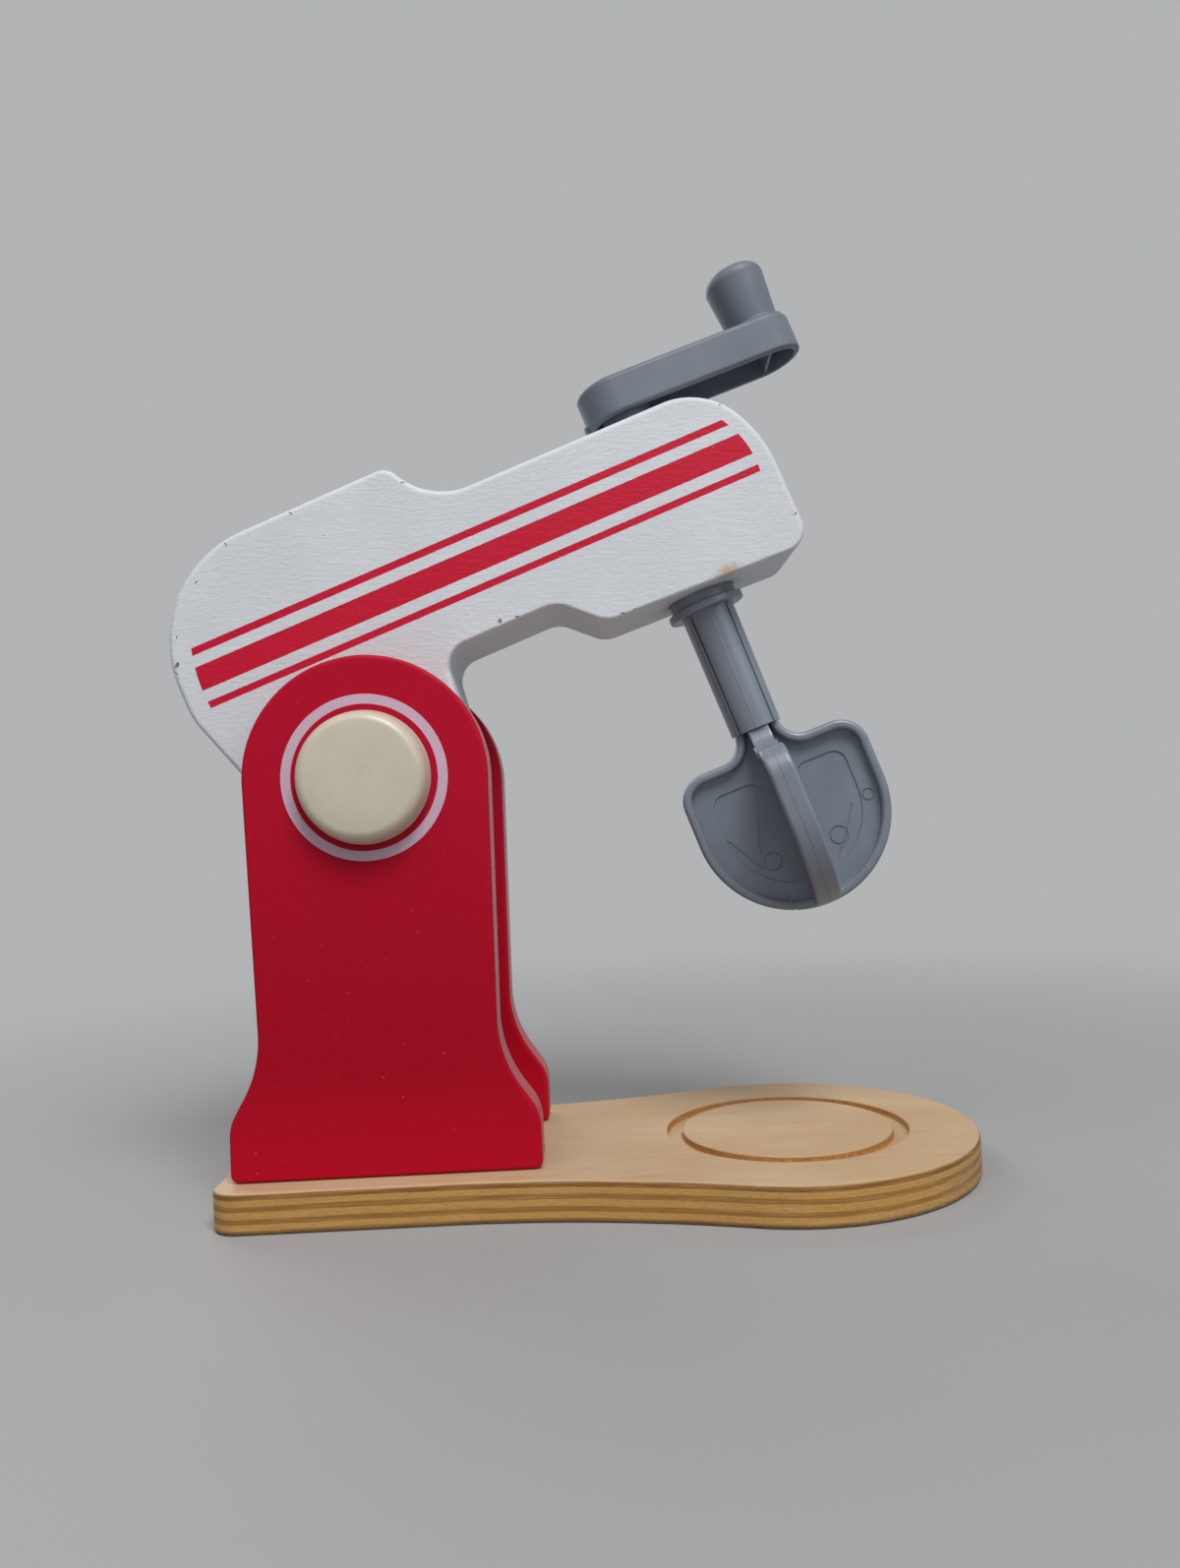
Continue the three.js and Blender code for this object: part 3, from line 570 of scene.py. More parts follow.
print("head")
head = {
    "thickness": 38.4,
    "neckFront": 36.3,
    "tongueBack": 1.6,  # how far the tongue's circle stands behind the pivot
    "neckBack": (-34.4, 9.8),
    "outline": (  # forward of the pivot, above it, and the corner's radius
        (36.3, 28.4, 8), (75.1, 28.4, 10), (87.6, 16.4, 10), (158.1, 13.8, 8),
        (158.1, 52, 44.5), (146.5, 74.5, 24.3), (51, 74.5, 23), (42.9, 90.7, 6),
        (-45.6, 89.6, 38.4), (-45.6, 41.1, 30)),
    "easedEdge": 2,
    "easedUnder": 1.1,
    "uneven": 0.16,
    "washerRecess": 1.2,
    "washerHole": 13.3,
    "notchFloor": 23.4,
    "notchFrom": 35,  # degrees that the notch reaches back from straight down
    "driveX": 121.3,
    "driveHoles": ((6.3, 0, 76.5), (11.5, 0, 36.6), (8.3, 62.2, 76.5)),  # radius, low, high
    "dentUneven": 0.35,
}
washer = {"hole": 5.3, "radius": 13, "thickness": 1.5, "edge": 0.2, "outFrom": 18.3}
dents = (  # forward, above, across, and size along and in depth
    (-42.9, 58.1, -18.7, 1.7, 0.7), (-44.2, 55.6, -18.9, 1.0, 0.5), (-39.5, 66.4, -18.9, 0.7, 0.4),
    (56.3, 30.0, -18.9, 1.3, 0.6), (62.0, 29.4, -18.9, 0.9, 0.45), (47.7, 80.8, -19.3, 1.3, 0.35),
    (45.9, 83.4, -19.0, 1.2, 0.5), (93.3, 16.6, -18.9, 1.1, 0.6), (97.4, 16.3, -19.0, 0.7, 0.4),
    (16.1, 77.5, -19.4, 0.7, 0.35), (51.7, 61.3, -19.4, 0.6, 0.3), (-13.8, 87.6, -19.0, 0.8, 0.4),
    (156.4, 24.2, -18.9, 0.8, 0.4), (56.8, 39.8, -19.4, 0.6, 0.35),
    (148.6, 66.0, -18.9, 0.7, 0.4), (9.0, 88.6, -19.0, 0.8, 0.4), (-27.0, 80.2, -19.0, 0.7, 0.4),
)


def headOutline():
    x, z = head["neckBack"]
    tongue = arc(-head["tongueBack"], 0, head["neckFront"] - head["tongueBack"],
                 math.atan2(z, x), 4 * quarterTurn)
    return outline([*corners(tongue), *head["outline"]])


def stopNotch():
    room = math.asin(bore["dowel"] / bore["stop"])
    down = 3 * quarterTurn
    start, end = down - math.radians(head["notchFrom"]) - room, down + room
    shape = outline(corners(arc(0, 0, head["notchFloor"], end, start)
                            + arc(0, 0, head["neckFront"] + spare, start, end)))
    half = head["thickness"] / 2 + spare
    return moved(layered("notch", shape, [(0, -half), (0, half)]), upright)


# A lump about as long as its size and half as high, turned at random about the side
def dent(x, z, y, size, depth):
    angles = [quarterTurn * i / 3 for i in range(7)]
    piece = turned("dent", [(math.sin(a), -math.cos(a)) for a in angles], 12)
    for vertex in piece.data.vertices:
        vertex.co *= 1 + head["dentUneven"] * noise.noise(vertex.co * 2 + Vector((x, y, z)))
    shape = Matrix.Diagonal((size, depth, size * 0.5, 1))
    return moved(piece, at(x, y, z) @ about("Y", math.radians(47 * x)) @ shape)


def mixerHead():
    piece = plate("mixerHead", headOutline(), head["thickness"], head["easedEdge"],
                  head["uneven"], steps=8, under=head["easedUnder"])
    side = head["thickness"] / 2
    moved(piece, at(0, side) @ upright)
    inner, outer = side - head["washerRecess"], side + spare
    drive = at(head["driveX"]) @ about("Y", tilt + driveSlant)
    combine(piece, [
        crossRod("hole", bore["axle"], -outer, outer, 0, 0),
        crossRod("hole", head["washerHole"], -outer, -inner, 0, 0),
        crossRod("hole", head["washerHole"], inner, outer, 0, 0), stopNotch(),
        *[moved(rod("hole", *sizes), drive) for sizes in head["driveHoles"]],
        *[dent(*spot) for spot in dents]])
    return moved(piece, headPlace)


# A ring with a square section whose outer corners are eased
def flatRing(name, inner, outer, low, high, edge):
    return turned(name, [(inner, low), (outer - edge, low), (outer, low + edge),
                         (outer, high - edge), (outer - edge, high), (inner, high)],
                  endless=True)


def tiltWasher(name, side):
    half = washer["thickness"] / 2
    piece = flatRing(name, washer["hole"], washer["radius"], -half, half, washer["edge"])
    return moved(piece, headPlace @ at(0, side * (washer["outFrom"] + half)) @ upright)


print("dial knobs")
knob = {
    "radius": 20.35,
    "thickness": 8.6,
    "taper": 0.8,  # radius lost from the back to where the face rounds over
    "rounding": 3.4,
    "crown": 0.5,
    "roundEnds": 0.05,  # radians left off at both ends of the rounding
    "backEdge": 0.5,
    "socketDepth": 6,
    "outFrom": 34.4,
}


def dialKnob(name, side):
    radius, thickness, size = knob["radius"], knob["thickness"], knob["rounding"]
    edge, socket = knob["backEdge"], knob["socketDepth"]
    face, brim = radius - knob["taper"] - size, thickness - knob["crown"]
    rows = [(0, socket), (bore["axle"], socket), (bore["axle"], 0)]
    rows += roundRow(radius - edge, edge, edge, -quarterTurn, 0)
    left = knob["roundEnds"]
    rows += roundRow(face, brim - size, size, left, quarterTurn - left)
    rows += [(face * share, thickness - knob["crown"] * share ** 4)
             for share in (0.9, 0.75, 0.5, 0.25, 0)]
    place = at(pivot.x, side * knob["outFrom"], pivot.z) @ about("X", -side * quarterTurn)
    return moved(turned(name, rows, fineness["wideSides"]), place)


print("crank")
crank = {
    "reach": 52.8,
    "rootSet": 2.4,
    "rise": 0.9,  # degrees that the arm climbs towards its grip
    "halfWidth": 11.4,
    "bottom": 79.5,
    "height": 13.2,
    "wall": 2.5,
    "draft": 0.2,
    "topWall": 2.2,
    "easedEdge": 1.9,
    "rimEdge": 1.1,
    "cornerRows": ((1, 0), (0.3, 0.3), (0, 1)),  # how far from wall and ceiling, inside
    "crown": 0.25,
    "crownRows": ((2.4, 0.2), (4.5, 0)),  # in from the edge, and the share of the crown still left
    "bossRadius": 8.5,
    "bossBottom": 76.8,
    "shaftRadius": 6,
    "shaftBottom": 36.3,
    "keyAcross": 9,
    "keyBottom": 7.3,
    "pilot": (2.1, 5.3, 25.8, 24),  # radius, low, high and sides of the drive screw's hole
    "ribThickness": 1.1,
    "ribTurn": -7,
    "ribClear": 0.8,
    "gripRoot": 8.85,
    "gripTop": 10.25,
    "gripHeight": 20.9,
    "gripRounding": 4.2,
    "gripFillet": 1.1,
    "gripSkirt": 0.5,  # how far the grip's foot runs on past its fillet inside the arm
    "gateLength": 2.2,  # the stub where the plastic came into the mould
    "gateWidth": 2.4,
}


# A long shell, open underneath
def crankArm(bottom, ceiling, top):
    wall, half, crown = crank["wall"], crank["halfWidth"], crank["crown"]
    ease, rim, draft = crank["easedEdge"], crank["rimEdge"], crank["draft"]
    shape = (arc(-crank["rootSet"], 0, half, quarterTurn, 3 * quarterTurn)
             + arc(crank["reach"], 0, half, -quarterTurn, quarterTurn))
    turns = [quarterTurn * i / 8 for i in range(9)]
    rows = [(wall + beside, ceiling - below) for beside, below in crank["cornerRows"]]
    rows += [(wall - draft, bottom + draft), (wall - 2 * draft, bottom)]
    rows += [(rim * (1 - math.sin(turn)), bottom + rim * (1 - math.cos(turn))) for turn in turns]
    rows += [(ease * (1 - math.cos(turn)), top - crown - ease * (1 - math.sin(turn)))
             for turn in turns]
    rows += [(ease + further, top - crown * share) for further, share in crank["crownRows"]]
    return layered("crankHandle", shape, rows)


# The grip flares upwards, and the hollow in it is open at the arm's underside
def gripAndHollow(bottom, ceiling, top):
    wall, topWall, skirt = crank["wall"], crank["topWall"], crank["gripSkirt"]
    root, crest, size = crank["gripRoot"], crank["gripTop"], crank["gripRounding"]
    fillet, gripEnd = crank["gripFillet"], top + crank["gripHeight"]
    foot, crownRadius = root + fillet, crest - size
    grip = [(foot + skirt, ceiling), (foot + skirt, top)]
    grip += roundRow(foot, top + fillet, fillet, 3 * quarterTurn, 2 * quarterTurn)
    grip += [(root + (crest - root) * share, top + fillet + (gripEnd - size - top - fillet)
              * share) for share in (0.25, 0.5, 0.75)]
    grip += roundRow(crownRadius, gripEnd - size, size, 0, quarterTurn)
    grip += [(crownRadius * 0.6, gripEnd), (0, gripEnd)]
    hollow = [(0, bottom), (root - wall, bottom), (crest - wall, gripEnd - size),
              (crownRadius, gripEnd - topWall), (0, gripEnd - topWall)]
    return turned("grip", grip, 96), turned("hollow", hollow)


def crankHandle():
    bottom, wall, half = crank["bottom"], crank["wall"], crank["halfWidth"]
    top = bottom + crank["height"]
    ceiling = top - crank["topWall"]
    arm = crankArm(bottom, ceiling, top)
    grip, hollow = gripAndHollow(bottom, ceiling, top)

    reach = at(crank["reach"])
    ribBottom, ribTop = bottom + crank["ribClear"], top - crank["topWall"] / 2
    rib = block("rib", (crank["ribThickness"], 2 * half - wall, ribTop - ribBottom),
                (0, 0, (ribTop + ribBottom) / 2))
    moved(rib, reach @ about("Z", math.radians(crank["ribTurn"])))
    gateWidth = crank["gateWidth"]
    gate = block("gate", (crank["gateLength"], gateWidth, gateWidth),
                 (-crank["rootSet"] - half, 0, bottom + gateWidth / 2))
    join(arm, [moved(grip, reach)])
    combine(arm, [moved(hollow, reach)])
    join(arm, [rib, gate])
    climb = about("Y", -math.radians(crank["rise"]))
    moved(arm, at(0, 0, bottom) @ climb @ at(0, 0, -bottom))

    # Boss, shaft and a six-sided key that fits the sleeve's socket
    boss = rod("boss", crank["bossRadius"], crank["bossBottom"], ceiling + 1, chamfer=gap)
    shaft = rod("shaft", crank["shaftRadius"], crank["shaftBottom"], ceiling + 0.5, chamfer=0.2)
    key = rod("key", crank["keyAcross"] / math.sqrt(3), crank["keyBottom"],
              crank["shaftBottom"] + gap, 6)
    moved(key, about("Z", math.radians(driveTurns["beater"] - driveTurns["crank"])))
    join(arm, [boss, shaft, key])
    return moved(combine(arm, [rod("pilot", *crank["pilot"])]), crankPlace)


bush = {"hole": 6.3, "radius": 8, "bottom": 62.5, "seat": 74.89, "flangeRadius": 10.5,
        "top": 76.49, "edge": 0.3}


def crankBush():
    hole, radius, edge = bush["hole"], bush["radius"], bush["edge"]
    flange, seat, top = bush["flangeRadius"], bush["seat"], bush["top"]
    rows = [(hole, bush["bottom"]), (radius - edge, bush["bottom"]),
            (radius, bush["bottom"] + edge), (radius, seat), (flange - edge, seat),
            (flange, seat + edge), (flange, top - edge), (flange - edge, top), (hole, top)]
    return moved(turned("crankBush", rows, endless=True), bushPlace)


print("drive sleeve")
sleeve = {
    "flangeRadius": 12.95,
    "flangeTop": 11.8,
    "flangeBottom": 9.1,
    "flangeRound": 0.7,
    "journalRadius": 11.2,
    "journalTop": 36,
    "tubeRadius": 8.9,
    "tipRadius": 8.55,
    "tubeBottom": -33.3,
    "wall": 1.3,
    "boreTop": 2.5,
    "socketBottom": 7,
    "socketAcross": 9.6,
    "screwHole": 2.1,
    "groovePlaces": (45, 135, 225, 315),  # degrees round
    "grooveWidth": 0.85,
    "grooveDepth": 0.9,
    "grooveEase": 0.12,
    "groovePoints": (-0.9, 0.5, 2),  # degrees past each side of a groove
    "seam": 268,  # degrees round to the moulding line
    "seamWidth": 1.4,  # degrees to each side
    "seamHeight": 0.13,
    "seamPoints": (0, 0.35, 1),  # shares of its width
    "seamClear": 2.5,
    "roundStep": 5,  # degrees between the other points of a ring
    "tipEase": 0.15,
    "lipEase": 0.2,
    "lipRise": 0.8,  # how far the tube spreads out under the flange
}


# Degrees round for the points of a ring, closer together at the grooves and the moulding line
def sleeveAngles():
    half = math.degrees(sleeve["grooveWidth"] / 2 / sleeve["tubeRadius"])
    around = set(range(0, 360, sleeve["roundStep"]))
    for middle in sleeve["groovePlaces"]:
        clear = half + max(sleeve["groovePoints"])
        around -= {angle for angle in around if abs(angle - middle) < clear}
        around |= {middle + side * (half + more)
                   for side in (-1, 1) for more in sleeve["groovePoints"]}
    for middle in (sleeve["seam"], sleeve["seam"] - 180):
        around -= {angle for angle in around if abs(angle - middle) < sleeve["seamClear"]}
        around |= {middle + side * sleeve["seamWidth"] * share
                   for side in (-1, 1) for share in sleeve["seamPoints"]}
    return sorted(around)


# Rings whose radius dips at the four grooves and stands up at the moulding line
def driveSleeve():
    angles = sleeveAngles()
    half = math.degrees(sleeve["grooveWidth"] / 2 / sleeve["tubeRadius"])

    def ring(radius, height, carved):
        points = []
        for angle in angles:
            near = min(abs(angle - middle) for middle in sleeve["groovePlaces"])
            dip = sleeve["grooveDepth"] if near < half else 0
            dip = sleeve["grooveEase"] if half <= near < half + 1 else dip
            seam = min(abs(angle - sleeve["seam"]), abs(angle - sleeve["seam"] + 180))
            dip -= sleeve["seamHeight"] * max(0, 1 - seam / sleeve["seamWidth"])
            turn, size = math.radians(angle), radius - dip * carved
            points.append(Vector((size * math.cos(turn), size * math.sin(turn), height)))
        return points

    tube, tip, flange = sleeve["tubeRadius"], sleeve["tipRadius"], sleeve["flangeRadius"]
    low, high, foot = sleeve["flangeBottom"], sleeve["flangeTop"], sleeve["tubeBottom"]
    size, journal, top = sleeve["flangeRound"], sleeve["journalRadius"], sleeve["journalTop"]
    tipEase, ease, rise = sleeve["tipEase"], sleeve["lipEase"], sleeve["lipRise"]
    rings = [ring(tip - 0.5, foot, 0), ring(tip - tipEase, foot, 1), ring(tip, foot + ease, 1)]
    rings += [ring(tip + (tube - tip) * share, foot + (low - rise - foot) * share, 1)
              for share in (0.33, 0.66, 1)]
    rings += [ring(tube + ease, low - ease, 1), ring(tube + rise, low, 0)]
    rings += [ring(radius, height, 0) for radius, height in
              roundRow(flange - size, low + size, size, -quarterTurn, 0)
              + roundRow(flange - size, high - size, size, 0, quarterTurn)
              + [(journal + ease, high), (journal, high + ease), (journal, top - 2 * ease),
                 (journal - 2 * ease, top)]]
    piece = skin("driveSleeve", rings)
    inner, boreTop = tip - sleeve["wall"], sleeve["boreTop"]
    hollow = turned("hollow", [(inner, foot - spare), (inner, boreTop - gap),
                               (inner - gap, boreTop)])
    socket = rod("socket", sleeve["socketAcross"] / math.sqrt(3), sleeve["socketBottom"],
                 top + spare, 6)
    return moved(combine(piece, [hollow, socket, rod(
        "hole", sleeve["screwHole"], boreTop - spare, sleeve["socketBottom"] + spare,
        fineness["holeSides"])]), beaterPlace)


print("beater")
beater = {
    "halfWidth": 32.35,
    "stemHalfWidth": 7.5,
    "plugLength": 21.3,
    "shoulderDrop": 7.15,
    "neckRadius": 7.5,
    "shoulderRadius": 9.5,
    "roundDrop": 22.75,
    "rimDepth": 3.1,
    "rimWidth": 8.4,
    "rimRound": 1.3,
    "webThickness": 2,
    "fillet": 0.5,  # where the web meets the rim
    "panelFromCentre": 6,
    "panelInset": 5.8,
    "panelSink": 0.45,
    "panelCornerRadius": 4.5,
    "panelSlope": 0.2,  # how much wider a sunk panel is at the web's face
    "neckRimStep": 0.75,
    "neckRimDrop": 5.5,
    "seamWidth": 0.45,  # the moulding line round the rims
    "seamHeight": 0.12,
}
marks = {
    "width": 0.55,
    "depth": 0.35,
    "rings": ((-11.6, -76.2, 2.65), (11.6, -76.2, 2.65), (25.4, -67.3, 1.6)),
    "lines": (  # where the melt met as it filled the mould
        ((19.3, -68.2), (16.2, -73.2), (12.5, -78), (8.7, -83.1)),
        ((-23, -64.3), (-19.6, -70.4), (-16, -77)),
        ((-10.7, -61.5), (-13.6, -69.1), (-14.2, -73.1)), ((-12.1, -83), (-11.4, -89.6))),
    "lineWidth": 0.5,
    "lineDepth": 0.28,
    "joinX": -10.9,  # where the rim's two flows met
}
tubeEnd = sleeve["tubeBottom"]
stemEnd = tubeEnd - gap
shoulderZ = tubeEnd - beater["shoulderDrop"]
roundZ = shoulderZ - beater["roundDrop"]


def beaterOutline():
    half, stem = beater["halfWidth"], beater["stemHalfWidth"]
    top = tubeEnd + beater["plugLength"]
    neck, corner = beater["neckRadius"], beater["shoulderRadius"]
    sweep = arc(0, roundZ, half, 2 * quarterTurn, 4 * quarterTurn)
    return outline([(stem, top, 0), (-stem, top, 0), (-stem, shoulderZ, neck),
                    (-half, shoulderZ, corner), *corners(sweep), (half, shoulderZ, corner),
                    (stem, shoulderZ, neck)])


def sunkPanel(side, face):
    inset = beater["rimDepth"] + beater["panelInset"]
    near, far = beater["panelFromCentre"], beater["halfWidth"] - inset
    top, radius = shoulderZ - inset, beater["panelCornerRadius"]
    sweep = corners(arc(0, roundZ, far, 0, -math.acos(near / far)))
    sweep[-1] = (*sweep[-1][:2], radius)
    shape = [(near, top, radius), (far, top, radius), *sweep]
    if side > 0:
        shape.reverse()
    else:
        shape = [(-x, y, size) for x, y, size in shape]
    half = beater["webThickness"] / 2
    rows = [(beater["panelSlope"], half - beater["panelSink"]), (0, half), (0, half + spare)]
    return moved(layered("sunk", outline(shape), [(inset, face * height) for inset, height in
                                                  rows[::face]]), upright)


# Rings and lines in a web's front and back faces
def markCutters():
    half, depth, width = beater["webThickness"] / 2, marks["depth"], marks["width"]
    cutters = []
    for side in (-1, 1):
        for x, z, radius in marks["rings"]:
            ring = turned("ring", [(radius, -depth), (radius + width, -depth),
                                   (radius + width, depth), (radius, depth)], 40, endless=True)
            level = half - (beater["panelSink"] if radius > 2 else 0)
            cutters.append(moved(ring, at(x, side * level, z) @ upright))
        for points in marks["lines"]:
            for (x, z), (nextX, nextZ) in zip(points, points[1:]):
                level = half - (beater["panelSink"] if z > -80 else 0)
                length = math.hypot(nextX - x, nextZ - z) + marks["lineWidth"]
                line = block("line", (length, 2 * marks["lineDepth"], marks["lineWidth"]),
                             (0, 0, 0))
                middle = at((x + nextX) / 2, side * level, (z + nextZ) / 2)
                turn = about("Y", -math.atan2(nextZ - z, nextX - x))
                cutters.append(moved(line, middle @ turn))
    return cutters


# Geometry nodes: a bar with rounded corners swept round a closed path
def rimTree():
    tree, node, given = startTree("sweptRim", ("Rim Width", "Float"), ("Rim Depth", "Float"),
                                  ("Rounding", "Float"))
    path = node("GeometryNodeMeshToCurve", {0: given["Geometry"]})
    level = node("GeometryNodeSetCurveNormal", {0: path.outputs[0]}, mode="Z_UP")
    bar = node("GeometryNodeCurvePrimitiveQuadrilateral", {
        "Height": given["Rim Width"], "Width": given["Rim Depth"]})
    rounded = node("GeometryNodeFilletCurve", {
        0: bar.outputs[0], "Radius": given["Rounding"], "Count": 7}, mode="POLY")
    sweep = node("GeometryNodeCurveToMesh", {0: level.outputs[0], 1: rounded.outputs[0]})
    endTree(node, sweep, given["Finish"])
    return tree


def sweptRim(name, finish, tree, inset, width, depth, rounding):
    shape = beaterOutline()
    middle = [point + move * inset for point, move in zip(shape, inwards(shape))]
    mesh = bpy.data.meshes.new(name)
    mesh.from_pydata([point.to_3d() for point in middle],
                     [(i, (i + 1) % len(middle)) for i in range(len(middle))], [])
    rim = useTree(addObject(name, mesh), tree, {
        "Rim Width": width, "Rim Depth": depth, "Rounding": rounding, "Finish": finish})
    return moved(rim, upright)


def vanePair(finish, tree):
    depth, fillet, half = beater["rimDepth"], beater["fillet"], beater["webThickness"] / 2
    seamWidth, seamHeight = beater["seamWidth"], beater["seamHeight"]
    rim = sweptRim("beater", finish, tree, depth / 2, beater["rimWidth"], depth,
                   beater["rimRound"])
    seam = sweptRim("seam", finish, tree, 0, seamWidth, 2 * seamHeight, seamHeight * 0.7)
    rows = [(depth / 2, half + fillet), (depth, half + fillet)]
    rows += [(depth + fillet * (1 - math.cos(turn)), half + fillet * (1 - math.sin(turn)))
             for turn in (0.35, 0.7, 1.1, quarterTurn)]
    web = layered("web", beaterOutline(),
                  [(inset, -height) for inset, height in rows[::-1]] + rows)
    moved(web, upright)
    combine(web, [sunkPanel(side, face) for side in (-1, 1) for face in (-1, 1)] + markCutters())
    join(rim, [web, seam])

    # The crease where the rim's two flows met: a slit, filled again by a slightly thinner bar
    width, lost = marks["lineWidth"], marks["lineDepth"]
    place = (marks["joinX"], 0, roundZ - beater["halfWidth"] + depth * 0.75)
    combine(rim, [block("slit", (width, 4 * depth, 2 * depth), place)])
    fill = sweptRim("fill", finish, tree, depth / 2, beater["rimWidth"] - 2 * lost,
                    depth - 2 * lost, beater["rimRound"] - lost)
    combine(fill, [block("span", (2 * width, 4 * depth, 2 * depth + width), place)], "INTERSECT")
    return join(rim, [fill])


def beaterPiece(finish):
    tree = rimTree()
    pair, crossed = vanePair(finish, tree), vanePair(finish, tree)
    moved(crossed, about("Z", quarterTurn))
    step, stepTop = beater["neckRimStep"], tubeEnd + 3 * beater["plugLength"]
    low = stemEnd - beater["neckRimDrop"]
    size = (2 * step, 2 * beater["halfWidth"], stepTop - low)
    combine(crossed, [block("trim", size, (side * beater["rimWidth"] / 2, 0,
                                           (low + stepTop) / 2)) for side in (-1, 1)])
    join(pair, [crossed])
    plug, wide = sleeve["tipRadius"] - sleeve["wall"] - gap, beater["halfWidth"]
    collar = turned("collar", [(plug, stemEnd), (wide, stemEnd), (wide, stepTop),
                               (plug, stepTop)], 96, endless=True)
    return moved(combine(pair, [collar]), beaterPlace)


print("screws, dowels and axle")
pins = {
    "crossRadius": 4,
    "crossEnd": 28.1,
    "axleRadius": 5,
    "axleEnd": 40.1,
    "locatingBottom": 5,
    "locatingTop": 24,
    "easedEnd": 0.6,
    "flutes": 14,
    "fluteDepth": 0.15,
}
woodScrew = {"Length": screw["length"], "Shank Radius": 2.0, "Head Radius": 4.0,
             "Head Height": screw["headHeight"], "Tip": screw["tip"], "Pitch": 1.8,
             "Thread Height": 0.5, "Recess": 2.2}
driveScrew = {"Length": 26.6, "Shank Radius": 1.8, "Head Radius": 3.7, "Head Height": 2.6,
              "Tip": 3.6, "Pitch": 1.4, "Thread Height": 0.35, "Recess": 1.9}
driveScrewBottom = -1.7
driveWasherSizes = (2.1, 6, 1.2, 2.2, 0.15)  # hole, radius, bottom, top, eased edge
screwForm = {
    "steepness": 3.2,  # of the thread's flanks
    "plainShare": 0.34,  # of the length, from the head, before the thread starts
    "crossWidth": 0.42,  # of the recess, as a share of its size
    "sides": 24,
    "rings": 150,
}


def lathedPin(name, radius, low, high, flutes=0):
    ease = pins["easedEnd"]
    rows = [(radius - ease, low), (radius, low + ease), (radius, high - ease),
            (radius - ease, high)]
    rings = []
    for size, height in rows:
        ring = []
        for i in range(fineness["sides"]):
            turn = 2 * math.pi * i / fineness["sides"]
            dip = pins["fluteDepth"] * (0.5 + 0.5 * math.cos(flutes * turn)) if flutes else 0
            ring.append(Vector(((size - dip) * math.cos(turn), (size - dip) * math.sin(turn),
                                height)))
        rings.append(ring)
    return skin(name, rings)


def crossPin(name, radius, end, z, flutes=0):
    lying = at(pivot.x, 0, z) @ about("X", -quarterTurn)
    return moved(lathedPin(name, radius, -end, end, flutes), lying)


def locatingDowel(name, y):
    pin = lathedPin(name, dowel["radius"], pins["locatingBottom"], pins["locatingTop"],
                    pins["flutes"])
    return moved(pin, at(pivot.x, y))


def gather(piece, *others):
    work = bmesh.new()
    for part in (piece, *others):
        work.from_mesh(part.data)
    work.to_mesh(piece.data)
    work.free()
    for part in others:
        bpy.data.objects.remove(part)
    return piece


